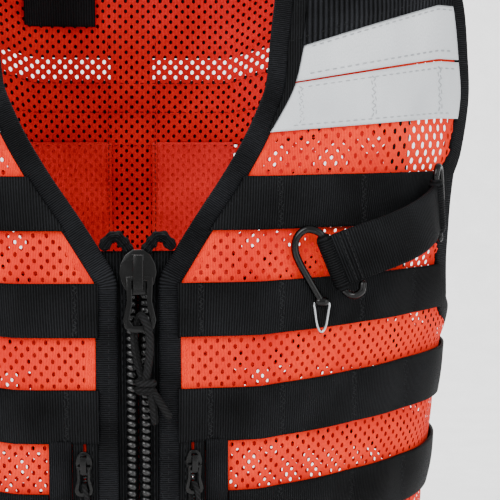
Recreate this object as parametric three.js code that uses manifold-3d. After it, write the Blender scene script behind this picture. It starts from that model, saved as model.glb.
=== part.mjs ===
// A utility work vest of orange-red mesh with black webbing rows, reflective tapes, a main zip, two pocket
// zips and a side strap with snap hooks. Millimetres, +Z up, the front faces -Y, the wearer's left is +X.
// The origin is the point midway between the tops of the two shoulders.
import * as THREE from 'three';
import { mergeVertices } from 'three/addons/utils/BufferGeometryUtils.js';
import Module from 'manifold-3d';

const wasm = await Module();
wasm.setup();

// Overall form
const LENGTH = 500;
const HALF_WIDTH = 194;
const FRONT_DEPTH = 111;
const BACK_DEPTH = 96;
const SQUARENESS = 2.25;
const SHOULDER_ROLL = 45;

// Neck, fronts and armholes
const NECK_HALF_WIDTH = 82;
const NECK_DEPTH = 199;
const BACK_NECK_DROP = 35;
const PLACKET_HALF = 18.3;
const ARMHOLE_DEPTH = 243;
const BINDING_WIDTH = 8.7;
const NECK_BAND_WIDTH = 7.5;

// Rise of the seams and rows towards the armholes
const OUTWARD_RISE = 30;
const RISE_FROM = 57;
const RISE_RUN = 93;

// Heights of the layers, down from the shoulder
const TAPE_TOP = 95;
const TAPE_SPLIT = 109;
const TAPE_BOTTOM = 130;
const ROW_TOP = 150;
const ROW_PITCH = 49;
const WEBBING_WIDTH = 25;
const BACK_YOKE_BOTTOM = 85;
const BACK_BAND_TOP = 98;
const BACK_BAND_BOTTOM = 136;
const INNER_PANEL_BOTTOM = 297;
const INNER_PANEL_COLUMNS = [1, 4];
const HEM_MARGIN = 22;

// Thicknesses and gaps
const MESH_WALL = 1.2;
const WEBBING_WALL = 1.6;
const YOKE_WALL = 2.0;
const TAPE_WALL = 1.0;
const PANEL_WALL = 1.1;
const BINDING_WALL = 4.0;
const LAYER_GAP = 0.4;
const GAP = 0.3;
const SEAM = 0.001;

// Main zip
const ZIP_TOP = 184;
const ZIP_TAPE_INNER = 1.2;
const ZIP_TAPE_OUTER = 16.5;
const ZIP_TAPE_WALL = 1.0;
const CHAIN_HALF = 5.2;
const CHAIN_HEIGHT = 2.8;
const CHAIN_GROOVE = 1.2;
const ZIP_END_REACH = 16;
const ZIP_END_RADIUS = 2.2;
const SLIDER_DOWN = 194;

// Pocket zips
const ROWS_OVER_POCKET = 3;
const POCKET_ZIP_WIDTH = 12;
const POCKET_WIDTH = 23.2;
const POCKET_SLIDER_ACROSS = 25.2;
const POCKET_SLIDER_DROP = 9;
const POCKET_LENGTH = 156;

// Sliders, pull tabs and cords: width, length and so on of the main zip's and the pocket zips'
const MAIN_PULL = {
  width: 17.4, length: 21, plate: 2.0, lift: 3.0, bridge: 4.7, bridgeHeight: 5.4, rear: true,
  tabAcross: 0.6, tabTop: 12.7, tabEnd: 15.5, tabLength: 26, tabWall: 2.2, slot: 6.6,
  cord: 3.6, knot: 5.6,
};
const POCKET_PULL = {
  width: 7.6, length: 11, plate: 1.5, lift: 3.1, bridge: 2.8, bridgeHeight: 4.3, rear: false,
  tabAcross: 0, tabTop: 6.6, tabEnd: 8.6, tabLength: 14, tabWall: 1.4, slot: 3.6,
  cord: 2.4, knot: 3.8,
};

// Side strap and snap hooks
const STRAP_WALL = 3.0;
const STRAP_LOOP = 3.9;
const STRAP_BOW = 18.5;
const WIRE = 3.3;
const WIRE_GAP = 0.45;
const GATE_WIRE = 1.2;
const GATE_WIDTH = 7.2;
const GATE_LENGTH = 14.5;
const EYE_RADIUS = 2.3;
const EYE_LENGTH = 4.4;

// Label
const LABEL_TOP = 39;
const LABEL_BOTTOM = 66.5;
const LABEL_FROM = -62;
const LABEL_TO = -21;

// Body sections: down as a share of LENGTH, half width, front and back depth as shares of their full sizes
const SECTIONS = [
  { down: 0.0, width: 1.0, front: 0.559, back: 0.542 },
  { down: 0.09, width: 1.0, front: 0.667, back: 0.688 },
  { down: 0.2, width: 0.979, front: 0.811, back: 0.854 },
  { down: 0.3, width: 0.938, front: 0.919, back: 0.969 },
  { down: 0.4, width: 0.887, front: 0.973, back: 1.0 },
  { down: 0.5, width: 0.84, front: 1.0, back: 0.99 },
  { down: 0.6, width: 0.814, front: 1.0, back: 0.958 },
  { down: 0.7, width: 0.778, front: 0.982, back: 0.938 },
  { down: 0.8, width: 0.763, front: 0.973, back: 0.938 },
  { down: 0.92, width: 0.784, front: 0.991, back: 0.969 },
  { down: 1.0, width: 0.804, front: 1.009, back: 1.0 },
];

// Rise of the seams at the armhole side: down as a share of LENGTH, rise as a share of OUTWARD_RISE
const RISES = [
  { down: 0.0, rise: -0.533 },
  { down: 0.08, rise: 0.133 },
  { down: 0.14, rise: 0.667 },
  { down: 0.19, rise: 1.0 },
  { down: 0.218, rise: 0.533 },
  { down: 0.26, rise: 0.267 },
  { down: 0.3, rise: 0.067 },
  { down: 0.35, rise: 0.067 },
  { down: 0.398, rise: 0.133 },
  { down: 0.448, rise: 0.233 },
  { down: 0.496, rise: 0.3 },
  { down: 0.6, rise: 0.3 },
  { down: 1.0, rise: 0.2 },
];

// Front neck edge: down as a share of NECK_DEPTH, reach as a share of the way from placket to shoulder
const NECK_EDGE = [
  { down: 0.0, reach: 1.0 },
  { down: 0.32, reach: 0.914 },
  { down: 0.46, reach: 0.859 },
  { down: 0.55, reach: 0.82 },
  { down: 0.63, reach: 0.717 },
  { down: 0.754, reach: 0.498 },
  { down: 0.88, reach: 0.235 },
  { down: 1.0, reach: 0.0 },
];

// Armhole edge: down as a share of ARMHOLE_DEPTH, turn from the centre line (0) to the side (1)
const ARMHOLE_EDGE = [
  { down: 0.0, front: 0.533, back: 0.533 },
  { down: 0.165, front: 0.561, back: 0.556 },
  { down: 0.366, front: 0.596, back: 0.58 },
  { down: 0.444, front: 0.636, back: 0.59 },
  { down: 0.506, front: 0.658, back: 0.6 },
  { down: 0.576, front: 0.645, back: 0.605 },
  { down: 0.617, front: 0.619, back: 0.61 },
  { down: 0.79, front: 0.65, back: 0.64 },
  { down: 0.92, front: 0.71, back: 0.71 },
  { down: 0.965, front: 0.8, back: 0.8 },
  { down: 1.0, front: 1.0, back: 1.0 },
];

// Broad folds: the side and face they lie on, turn of their middle, its down as a share of LENGTH, lean in
// degrees, length and width as shares of LENGTH, height as a share of FOLD_HEIGHT
const FOLD_HEIGHT = 3.0;
const FOLDS = [
  { side: 1, face: 1, turn: 0.4, down: 0.23, lean: 60, length: 0.14, width: 0.052, height: 0.667 },
  { side: 1, face: 1, turn: 0.7, down: 0.52, lean: -70, length: 0.16, width: 0.06, height: 0.733 },
  { side: -1, face: 1, turn: 0.35, down: 0.47, lean: 35, length: 0.14, width: 0.056, height: -0.733 },
  { side: -1, face: 1, turn: 0.55, down: 0.3, lean: -60, length: 0.14, width: 0.056, height: 0.733 },
  { side: 1, face: -1, turn: 0.4, down: 0.42, lean: 75, length: 0.18, width: 0.068, height: -1.0 },
  { side: -1, face: -1, turn: 0.45, down: 0.6, lean: 80, length: 0.18, width: 0.068, height: 0.933 },
  { side: 1, face: -1, turn: 0.8, down: 0.8, lean: 10, length: 0.18, width: 0.064, height: 1.0 },
  { side: -1, face: 1, turn: 0.8, down: 0.82, lean: 15, length: 0.18, width: 0.064, height: -0.933 },
];

// Share of the way round to the side that stays free of folds, along the zip and the centre of the back
const FOLD_FREE_TURN = 0.25;

// Length round a quarter of the body as a share of its half width and front depth together
const QUARTER_SHARE = 0.8;

const MATERIALS = {
  mesh: new THREE.MeshStandardMaterial({ color: 0xf2553f, roughness: 0.85, side: THREE.DoubleSide }),
  webbing: new THREE.MeshStandardMaterial({ color: 0x17181a, roughness: 0.8 }),
  spacer: new THREE.MeshStandardMaterial({ color: 0x232426, roughness: 0.9 }),
  binding: new THREE.MeshStandardMaterial({ color: 0x121315, roughness: 0.75 }),
  reflective: new THREE.MeshStandardMaterial({ color: 0xd5d9dc, roughness: 0.35 }),
  coil: new THREE.MeshStandardMaterial({ color: 0x1b1b1c, roughness: 0.5 }),
  blackMetal: new THREE.MeshStandardMaterial({ color: 0x1a1b1d, roughness: 0.4, metalness: 0.6 }),
  steel: new THREE.MeshStandardMaterial({ color: 0xc9cbcc, roughness: 0.25, metalness: 1.0 }),
  cord: new THREE.MeshStandardMaterial({ color: 0x4a4a4a, roughness: 0.85 }),
};

const vest = new THREE.Group();

function add(name, geometry, material) {
  const mesh = new THREE.Mesh(geometry, material);
  mesh.name = name;
  vest.add(mesh);
  return mesh;
}

// Smooth interpolation of one column of a table by its down column
function along(table, column, at) {
  const last = table.length - 1;
  const t = Math.min(Math.max(at, table[0].down), table[last].down);
  let k = 0;
  while (k < last - 1 && t > table[k + 1].down) k += 1;
  const slope = (i) => (table[i + 1][column] - table[i][column]) / (table[i + 1].down - table[i].down);
  const tangent = (i) => {
    if (i === 0 || i === last) return slope(Math.min(i, last - 1));
    const a = slope(i - 1);
    const b = slope(i);
    return a * b <= 0 ? 0 : (2 * a * b) / (a + b);
  };
  const step = table[k + 1].down - table[k].down;
  const u = (t - table[k].down) / step;
  const a = table[k][column];
  const b = table[k + 1][column];
  const rise = b - a;
  const m0 = tangent(k) * step;
  const m1 = tangent(k + 1) * step;
  return a + u * (m0 + u * (3 * rise - 2 * m0 - m1 + u * (m0 + m1 - 2 * rise)));
}

// Path is measured in millimetres over the shoulder: positive down the front, negative down the back
const ROLL_PATH = (Math.PI / 4) * (SHOULDER_ROLL + FRONT_DEPTH * SECTIONS[0].front);

function downOf(path) {
  const p = Math.abs(path);
  if (p >= ROLL_PATH) return SHOULDER_ROLL + p - ROLL_PATH;
  return SHOULDER_ROLL * (1 - Math.cos(((p / ROLL_PATH) * Math.PI) / 2));
}

function pathOf(down) {
  if (down >= SHOULDER_ROLL) return ROLL_PATH + down - SHOULDER_ROLL;
  return (ROLL_PATH * Math.acos(1 - down / SHOULDER_ROLL) * 2) / Math.PI;
}

function halfWidth(down) {
  return HALF_WIDTH * along(SECTIONS, 'width', down / LENGTH);
}

function turnOfX(x, down) {
  const share = Math.min(Math.max(x / halfWidth(down), 0), 1);
  return (Math.asin(share ** (SQUARENESS / 2)) * 2) / Math.PI;
}

function foldHeight(side, face, turn, down) {
  let height = 0;
  for (const fold of FOLDS) {
    if (fold.side !== side || fold.face !== face) continue;
    const across = (turn - fold.turn) * (HALF_WIDTH + FRONT_DEPTH) * QUARTER_SHARE;
    const below = down - fold.down * LENGTH;
    const lean = THREE.MathUtils.degToRad(fold.lean);
    const u = (across * Math.cos(lean) + below * Math.sin(lean)) / (fold.length * LENGTH);
    const v = (below * Math.cos(lean) - across * Math.sin(lean)) / (fold.width * LENGTH);
    height += FOLD_HEIGHT * fold.height * Math.exp(-(u ** 2) - v ** 2);
  }
  return height * Math.min(turn / FOLD_FREE_TURN, 1) ** 2;
}

// A point of the cloth's inner face; turn runs from the centre line (0) to the side seam (1)
function bodyPoint(side, turn, path) {
  const down = downOf(path);
  const share = down / LENGTH;
  const face = path >= 0 ? 1 : -1;
  const full = face > 0 ? FRONT_DEPTH : BACK_DEPTH;
  const roll = Math.sin((Math.min(Math.abs(path) / ROLL_PATH, 1) * Math.PI) / 2);
  const angle = (turn * Math.PI) / 2;
  const across = Math.sin(angle) ** (2 / SQUARENESS);
  const ahead = Math.max(Math.cos(angle), 0) ** (2 / SQUARENESS);
  const fold = foldHeight(side, face, turn, down);
  const x = halfWidth(down) * across + fold * across;
  const y = full * along(SECTIONS, face > 0 ? 'front' : 'back', share) * roll * ahead + fold * ahead * roll;
  const reach = Math.min(Math.max((x - RISE_FROM) / RISE_RUN, 0), 1);
  const rise = OUTWARD_RISE * along(RISES, 'rise', share) * reach;
  return new THREE.Vector3(side * x, -face * y, rise - down);
}

function bodyNormal(side, turn, path) {
  const e = 0.004;
  const nearer = bodyPoint(side, Math.max(turn - e, 0), path);
  const across = bodyPoint(side, Math.min(turn + e, 1), path).sub(nearer);
  const downward = bodyPoint(side, turn, path + 1).sub(bodyPoint(side, turn, path - 1));
  return downward.cross(across).multiplyScalar(side).normalize();
}

function lifted(side, turn, path, offset) {
  return bodyPoint(side, turn, path).addScaledVector(bodyNormal(side, turn, path), offset);
}

// A place on the front at x across and a height down, with its outward normal and its downward direction
function frontFrame(across, down, offset) {
  const side = across < 0 ? -1 : 1;
  const turn = turnOfX(Math.abs(across), down);
  const path = pathOf(down);
  const normal = bodyNormal(side, turn, path);
  const point = bodyPoint(side, turn, path).addScaledVector(normal, offset);
  const downward = bodyPoint(side, turn, path + 1).sub(bodyPoint(side, turn, path - 1)).normalize();
  return { point, normal, downward };
}

// Geometry from triangles of points, turned so that its faces point outward
function solidOf(points, triangles) {
  let volume = 0;
  for (const [a, b, c] of triangles) {
    volume += points[a].dot(new THREE.Vector3().crossVectors(points[b], points[c]));
  }
  const index = triangles.flatMap(([a, b, c]) => (volume > 0 ? [a, b, c] : [a, c, b]));
  const geometry = new THREE.BufferGeometry();
  const flat = points.flatMap((p) => [p.x, p.y, p.z]);
  geometry.setAttribute('position', new THREE.Float32BufferAttribute(flat, 3));
  geometry.setIndex(index);
  return geometry;
}

// A closed wall from a net of quads; each node of the net has an inner and an outer point
function wall(nodes, quads) {
  const count = nodes.length;
  const points = [...nodes.map((n) => n.outer), ...nodes.map((n) => n.inner)];
  const triangles = [];
  const edges = new Map();
  for (const [a, b, c, d] of quads) {
    triangles.push([a, b, c], [a, c, d]);
    triangles.push([a + count, c + count, b + count], [a + count, d + count, c + count]);
    for (const [u, v] of [[a, b], [b, c], [c, d], [d, a]]) edges.set(`${u}_${v}`, [u, v]);
  }
  for (const [u, v] of edges.values()) {
    if (!edges.has(`${v}_${u}`)) triangles.push([v, u, u + count], [v, u + count, v + count]);
  }
  return solidOf(points, triangles);
}

// A net of rows and columns on the cloth. Each row gives its path and its turns; offsets give the wall
function cloth(side, rows, from, to) {
  const nodes = [];
  const quads = [];
  rows.forEach(({ path, turns }, r) => {
    turns.forEach((turn, c) => {
      nodes.push({ inner: lifted(side, turn, path, from), outer: lifted(side, turn, path, to) });
      if (r > 0 && c > 0) {
        const at = r * turns.length + c;
        quads.push([at - turns.length - 1, at - turns.length, at, at - 1]);
      }
    });
  });
  return wall(nodes, quads);
}

// A closed bar through stations of corner points, as a loop or with two end faces
function bar(stations, loop) {
  const k = stations[0].length;
  const n = stations.length;
  const points = stations.flat();
  const triangles = [];
  const spans = loop ? n : n - 1;
  for (let i = 0; i < spans; i += 1) {
    const here = i * k;
    const next = ((i + 1) % n) * k;
    for (let j = 0; j < k; j += 1) {
      const m = (j + 1) % k;
      triangles.push([here + j, next + j, next + m], [here + j, next + m, here + m]);
    }
  }
  if (!loop) {
    for (let j = 1; j < k - 1; j += 1) {
      triangles.push([0, j, j + 1]);
      triangles.push([(n - 1) * k, (n - 1) * k + j + 1, (n - 1) * k + j]);
    }
  }
  return solidOf(points, triangles);
}

// Binding that lies outward of an edge of the cloth, as a band of rectangular section
function binding(edge, loop, outwardSign) {
  const n = edge.length;
  const low = -(BINDING_WALL - MESH_WALL) / 2;
  const high = low + BINDING_WALL;
  const stations = edge.map((spot, i) => {
    const before = edge[loop ? (i + n - 1) % n : Math.max(i - 1, 0)];
    const after = edge[loop ? (i + 1) % n : Math.min(i + 1, n - 1)];
    const a = spot.point.clone().sub(before.point);
    const b = after.point.clone().sub(spot.point);
    const run = a.normalize().add(b.normalize()).normalize();
    const out = new THREE.Vector3().crossVectors(spot.normal, run).multiplyScalar(outwardSign).normalize();
    const corner = (w, h) => spot.point.clone().addScaledVector(out, w).addScaledVector(spot.normal, h);
    const far = GAP + BINDING_WIDTH;
    return [corner(GAP, low), corner(far, low), corner(far, high), corner(GAP, high)];
  });
  return bar(stations, loop);
}

// Columns of the fronts and of the back: a chest part, and a flank part that closes up beside the armholes
const CHEST_INTERVALS = 4;
const FLANK_INTERVALS = 3;
const FLANK_TURN = 0.62;
const FLANK_CLOSE = 0.9;

function neckHalf(down) {
  return PLACKET_HALF + (NECK_HALF_WIDTH - PLACKET_HALF) * along(NECK_EDGE, 'reach', down / NECK_DEPTH);
}

function backNeckHalf(down) {
  return NECK_HALF_WIDTH * Math.sqrt(Math.max(1 - (down / BACK_NECK_DROP) ** 2, 0));
}

function bandWidth(down) {
  const taper = (TAPE_BOTTOM - down) / (TAPE_BOTTOM - TAPE_TOP);
  return 1 + (NECK_BAND_WIDTH - 1) * Math.min(Math.max(taper, 0), 1);
}

function spread(turns, outer) {
  const flank = Math.min(FLANK_TURN, outer * FLANK_CLOSE);
  const chest = CHEST_INTERVALS + 2 - turns.length;
  const from = turns[turns.length - 1];
  for (let i = 1; i <= chest; i += 1) turns.push(from + ((flank - from) * i) / chest);
  for (let i = 1; i <= FLANK_INTERVALS; i += 1) turns.push(flank + ((outer - flank) * i) / FLANK_INTERVALS);
  return turns;
}

function frontTurns(down) {
  const outer = Math.min(along(ARMHOLE_EDGE, 'front', down / ARMHOLE_DEPTH), 1 - SEAM);
  const inner = neckHalf(down);
  const widths = down <= TAPE_BOTTOM ? [0, bandWidth(down)] : [0, POCKET_ZIP_WIDTH, POCKET_WIDTH];
  return spread(widths.map((width) => turnOfX(inner + width, down)), outer);
}

function backTurns(down) {
  const outer = Math.min(along(ARMHOLE_EDGE, 'back', down / ARMHOLE_DEPTH), 1 - SEAM);
  const inner = backNeckHalf(down);
  const band = NECK_BAND_WIDTH * (1 + Math.min(down / BACK_BAND_TOP, 1));
  return spread([turnOfX(inner, down), turnOfX(inner + band, down)], outer);
}

function frontRow(down) {
  return { down, path: pathOf(down), turns: frontTurns(down) };
}

function backRow(down) {
  return { down, path: -pathOf(down), turns: backTurns(down) };
}

// Webbing rows down the body
const HEM_EDGE = LENGTH - BINDING_WIDTH - GAP;
const ROW_COUNT = Math.floor((HEM_EDGE - HEM_MARGIN / 2 - ROW_TOP - WEBBING_WIDTH) / ROW_PITCH) + 1;
const rowTops = Array.from({ length: ROW_COUNT }, (_, k) => ROW_TOP + ROW_PITCH * k);
const rowEdges = rowTops.flatMap((top) => [top, top + WEBBING_WIDTH]);
const pocketTop = rowTops[ROWS_OVER_POCKET - 1] + WEBBING_WIDTH;
const pocketBottom = pocketTop + POCKET_LENGTH;

// Rows of the shared net
const seamDown = downOf(GAP);
const rollDowns = [0.35, 0.7, 1].map((share) => downOf(share * ROLL_PATH));
const armholeDowns = [0.965, 1].map((share) => share * ARMHOLE_DEPTH);

function sorted(downs) {
  const rising = [...downs].sort((a, b) => a - b);
  return rising.filter((down, i) => i === 0 || down - rising[i - 1] > 1);
}

const frontDowns = sorted([
  seamDown, ...rollDowns, TAPE_TOP, TAPE_SPLIT, TAPE_BOTTOM,
  ...rowEdges, ...armholeDowns, HEM_EDGE,
]);
const neckCurve = [0.5, 0.78, 0.94, 1].map((share) => share * BACK_NECK_DROP);
const backDowns = sorted([
  seamDown, rollDowns[0], ...neckCurve, SHOULDER_ROLL, BACK_YOKE_BOTTOM, BACK_BAND_TOP,
  BACK_BAND_BOTTOM, ...rowEdges, ...armholeDowns, HEM_EDGE,
]);

const frontRows = frontDowns.map(frontRow);
const backRows = backDowns.map(backRow);

function slice(rows, top, bottom, firstColumn = 0, lastColumn = Infinity) {
  const inside = rows.filter((row) => row.down >= top - 0.01 && row.down <= bottom + 0.01);
  return inside.map((row) => ({ ...row, turns: row.turns.slice(firstColumn, lastColumn + 1) }));
}

// Rows of a front between two heights, kept a gap clear at the top and bottom edges
function trimmed(rows, make, topGap, bottomGap) {
  const first = rows[0];
  const last = rows[rows.length - 1];
  const columns = (row, down) => {
    const full = make(down);
    const start = make(row.down).turns.findIndex((t) => Math.abs(t - row.turns[0]) < 1e-9);
    return { ...full, turns: full.turns.slice(start, start + row.turns.length) };
  };
  const result = [...rows];
  if (topGap) result[0] = columns(first, first.down + topGap);
  if (bottomGap) result[result.length - 1] = columns(last, last.down - bottomGap);
  return result;
}

const outerFace = MESH_WALL + LAYER_GAP;

// The two halves of the back, joined along the centre line below the neck. Each quad is cut along the diagonal
// that starts at its corner next to the shoulder and the centre, as in the fronts
function backNet(rows, from, to, bridge) {
  const nodes = [];
  const ids = new Map();
  const quads = [];
  const node = (side, row, c) => {
    const centred = c === 0 && row.turns[0] < 1e-6;
    const key = `${centred ? 0 : side}_${row.path}_${c}`;
    if (!ids.has(key)) {
      ids.set(key, nodes.length);
      const turn = row.turns[c];
      nodes.push({ inner: lifted(side, turn, row.path, from), outer: lifted(side, turn, row.path, to) });
    }
    return ids.get(key);
  };
  for (const side of [1, -1]) {
    for (let r = 1; r < rows.length; r += 1) {
      const above = rows[r - 1];
      const below = rows[r];
      for (let c = bridge(above, below); c < above.turns.length; c += 1) {
        const upper = [node(side, above, c - 1), node(side, above, c)];
        const quad = [...upper, node(side, below, c), node(side, below, c - 1)];
        const nearer = Math.abs(above.path) <= Math.abs(below.path);
        if (side < 0) quad.reverse();
        if (side > 0 !== nearer) quad.push(quad.shift());
        quads.push(quad);
      }
    }
  }
  return wall(nodes, quads);
}

// Mesh fronts and back
for (const [side, name] of [[1, 'left'], [-1, 'right']]) {
  add(`front_mesh_${name}`, cloth(side, frontRows, 0, MESH_WALL), MATERIALS.mesh);
}
add('back_mesh', backNet(backRows, 0, MESH_WALL, () => 1), MATERIALS.mesh);

// Shoulder yoke, one piece over both shoulders and across the upper back
const yokeFront = trimmed(slice(frontRows, seamDown + 1, TAPE_TOP), frontRow, 0, GAP).reverse();
const yokeBack = slice(backRows, seamDown + 1, BACK_YOKE_BOTTOM);
const yokeRows = [...yokeFront, { down: 0, path: 0, turns: frontTurns(0) }, ...yokeBack];
const yoke = backNet(yokeRows, outerFace, outerFace + YOKE_WALL, (above) => (above.path > 0 ? 2 : 1));
add('shoulder_yoke', yoke, MATERIALS.spacer);

// Neck bands, reflective tapes and webbing rows of each front
function stopColumn(row, gap) {
  const step = turnOfX(gap, row.down);
  const turns = [...row.turns];
  turns[turns.length - 1] -= step * 0.3;
  return { ...row, turns };
}

for (const [side, name] of [[1, 'left'], [-1, 'right']]) {
  const band = trimmed(slice(frontRows, seamDown, TAPE_BOTTOM, 0, 1), frontRow, GAP / 2, 0);
  const bandRows = band.map((row) => stopColumn(row, GAP * 4));
  add(`neck_band_${name}`, cloth(side, bandRows, outerFace, outerFace + WEBBING_WALL), MATERIALS.webbing);
  const upper = trimmed(slice(frontRows, TAPE_TOP, TAPE_SPLIT, 1), frontRow, 0, GAP);
  add(`tape_upper_${name}`, cloth(side, upper, outerFace, outerFace + TAPE_WALL), MATERIALS.reflective);
  const lower = trimmed(slice(frontRows, TAPE_SPLIT, TAPE_BOTTOM, 1), frontRow, GAP, 0);
  add(`tape_lower_${name}`, cloth(side, lower, outerFace, outerFace + TAPE_WALL), MATERIALS.reflective);
  rowTops.forEach((top, k) => {
    const beside = top > pocketTop && top < pocketBottom;
    const row = slice(frontRows, top, top + WEBBING_WIDTH, beside ? 2 : 0);
    add(`row_${k + 1}_${name}`, cloth(side, row, outerFace, outerFace + WEBBING_WALL), MATERIALS.webbing);
  });
}

// Webbing of the back, and the two panels inside it
function backBand(name, top, bottom) {
  const rows = slice(backRows, top, bottom);
  add(name, backNet(rows, outerFace, outerFace + WEBBING_WALL, () => 1), MATERIALS.webbing);
}

backBand('back_band', BACK_BAND_TOP, BACK_BAND_BOTTOM);
rowTops.forEach((top, k) => backBand(`back_row_${k + 1}`, top, top + WEBBING_WIDTH));

const centreFrom = outerFace + WEBBING_WALL + LAYER_GAP;
const centreRows = backDowns
  .filter((down) => down > BACK_YOKE_BOTTOM && down <= rowEdges[rowEdges.length - 1])
  .map((down) => ({ down, path: -pathOf(down), turns: [0, turnOfX(WEBBING_WIDTH / 2, down)] }));
add('back_centre_band', backNet(centreRows, centreFrom, centreFrom + WEBBING_WALL, () => 1), MATERIALS.webbing);

for (const [side, name] of [[1, 'left'], [-1, 'right']]) {
  const rows = slice(backRows, BACK_BAND_BOTTOM, INNER_PANEL_BOTTOM, ...INNER_PANEL_COLUMNS);
  add(`inner_panel_${name}`, cloth(side, rows, -LAYER_GAP - PANEL_WALL, -LAYER_GAP), MATERIALS.mesh);
}

// Bare label inside the back neck
const labelRows = [LABEL_TOP, SHOULDER_ROLL, (SHOULDER_ROLL + LABEL_BOTTOM) / 2, LABEL_BOTTOM].map((down) => {
  const turns = [0, 1 / 3, 2 / 3, 1].map((share) => {
    return turnOfX(-LABEL_TO + (LABEL_TO - LABEL_FROM) * share, down);
  });
  return { down, path: -pathOf(down), turns };
});
const labelIn = -LAYER_GAP * 3;
add('neck_label', cloth(-1, labelRows, labelIn - TAPE_WALL, labelIn), MATERIALS.webbing);

// Bindings of the neck and fronts, the armholes and the hem
function spotAt(side, turn, path) {
  return { point: bodyPoint(side, turn, path), normal: bodyNormal(side, turn, path) };
}

const curved = (row, i) => row.down < NECK_DEPTH + 1 || i % 2 === frontRows.length % 2;
const neckSide = (side) => [
  frontRow(LENGTH),
  ...frontRows.filter((row, i) => row.down > seamDown + 1 && curved(row, i + 1)).reverse(),
  { path: 0, turns: frontTurns(0) },
  ...backRows.filter((row) => row.down > seamDown + 1 && row.down < BACK_NECK_DROP - 0.01),
].map((row) => spotAt(side, row.turns[0], row.path));
const neckMiddle = spotAt(1, 0, -pathOf(BACK_NECK_DROP));
const neckEdge = [...neckSide(-1), neckMiddle, ...neckSide(1).reverse()];
add('neck_binding', binding(neckEdge, false, -1), MATERIALS.binding);

for (const [side, name] of [[1, 'left'], [-1, 'right']]) {
  const outer = (row) => row.turns[row.turns.length - 1];
  const above = (row) => row.down > seamDown + 1 && row.down < ARMHOLE_DEPTH - 0.01;
  const edge = [
    { path: 0, turns: frontTurns(0) },
    ...frontRows.filter(above),
    { path: pathOf(ARMHOLE_DEPTH), turns: [1] },
    ...backRows.filter(above).reverse(),
  ].map((row) => spotAt(side, outer(row), row.path));
  add(`armhole_binding_${name}`, binding(edge, true, side), MATERIALS.binding);
}

const hemFront = (side) => {
  return frontRows[frontRows.length - 1].turns.map((turn) => spotAt(side, turn, pathOf(HEM_EDGE)));
};
const hemBack = (side) => {
  return backRows[backRows.length - 1].turns.map((turn) => spotAt(side, turn, -pathOf(HEM_EDGE)));
};
const hemEdge = [
  ...hemFront(1).slice(0, -1), ...hemBack(1).reverse(),
  ...hemBack(-1).slice(1), ...hemFront(-1).reverse().slice(1),
];
add('hem_binding', binding(hemEdge, false, -1), MATERIALS.binding);

// Main zip: tapes, chain and the folded tape ends
const zipDowns = [ZIP_TOP, ...frontDowns.filter((down) => down > ZIP_TOP + 2 && down < HEM_EDGE), LENGTH];
const tapeFace = -(BINDING_WALL - MESH_WALL) / 2 - GAP;

function level(across, down, offset) {
  const turn = turnOfX(Math.abs(across), down);
  return lifted(across < 0 ? -1 : 1, turn, pathOf(down), offset);
}

function strip(corners, downs) {
  return bar(downs.map((down) => corners.map(([across, offset]) => level(across, down, offset))), false);
}

function join(solids) {
  return solids.slice(1).reduce((sum, next) => sum.add(next), solids[0]);
}

function toSolid(geometry) {
  const bare = geometry.clone();
  bare.deleteAttribute('normal');
  bare.deleteAttribute('uv');
  const merged = mergeVertices(bare, 1e-4);
  const vertProperties = Float32Array.from(merged.attributes.position.array);
  const triVerts = Uint32Array.from(merged.index.array);
  return new wasm.Manifold(new wasm.Mesh({ numProp: 3, vertProperties, triVerts }));
}

function toGeometry(solid) {
  const mesh = solid.getMesh();
  const geometry = new THREE.BufferGeometry();
  const places = Float32Array.from(mesh.vertProperties);
  geometry.setAttribute('position', new THREE.Float32BufferAttribute(places, 3));
  geometry.setIndex(Array.from(mesh.triVerts));
  return geometry;
}

// A round wire or cord along a smooth route
function rod(route, radius, steps, sides) {
  const shape = new THREE.Shape();
  for (let i = 0; i < sides; i += 1) {
    const angle = (2 * Math.PI * (i + 0.5)) / sides;
    const x = radius * Math.cos(angle);
    const y = radius * Math.sin(angle);
    if (i === 0) shape.moveTo(x, y);
    else shape.lineTo(x, y);
  }
  shape.closePath();
  const points = route.map((p) => (p.isVector3 ? p : new THREE.Vector3(...p)));
  const path = new THREE.CatmullRomCurve3(points, false, 'centripetal');
  return new THREE.ExtrudeGeometry(shape, { steps, bevelEnabled: false, extrudePath: path });
}

for (const [side, name] of [[1, 'left'], [-1, 'right']]) {
  const corners = [
    [side * ZIP_TAPE_INNER, tapeFace - ZIP_TAPE_WALL],
    [side * ZIP_TAPE_OUTER, tapeFace - ZIP_TAPE_WALL],
    [side * ZIP_TAPE_OUTER, tapeFace],
    [side * ZIP_TAPE_INNER, tapeFace],
  ];
  add(`zip_tape_${name}`, strip(corners, zipDowns), MATERIALS.webbing);
  const curl = [
    level(side * (ZIP_END_REACH - 2), ZIP_TOP - 3, tapeFace + ZIP_END_RADIUS),
    level(side * (ZIP_END_REACH - 6), ZIP_TOP - 6, tapeFace + ZIP_END_RADIUS + 1),
    level(side * 7, ZIP_TOP - 4, tapeFace + ZIP_END_RADIUS + 1),
    level(side * 4.2, ZIP_TOP - 0.8, tapeFace + ZIP_END_RADIUS + GAP),
  ];
  add(`zip_end_${name}`, rod(curl, ZIP_END_RADIUS, 6, 8), MATERIALS.coil);
}

const chainFace = tapeFace + GAP;
const chainTop = chainFace + CHAIN_HEIGHT;
const chainCorners = [
  [-CHAIN_HALF, chainFace], [CHAIN_HALF, chainFace], [CHAIN_HALF - 0.8, chainTop], [CHAIN_GROOVE, chainTop],
  [0, chainTop - CHAIN_GROOVE], [-CHAIN_GROOVE, chainTop], [0.8 - CHAIN_HALF, chainTop],
];
const chainDowns = [SLIDER_DOWN - 2, ...zipDowns.filter((down) => down > SLIDER_DOWN + 10)];
add('zip_teeth', strip(chainCorners, chainDowns), MATERIALS.coil);

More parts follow.
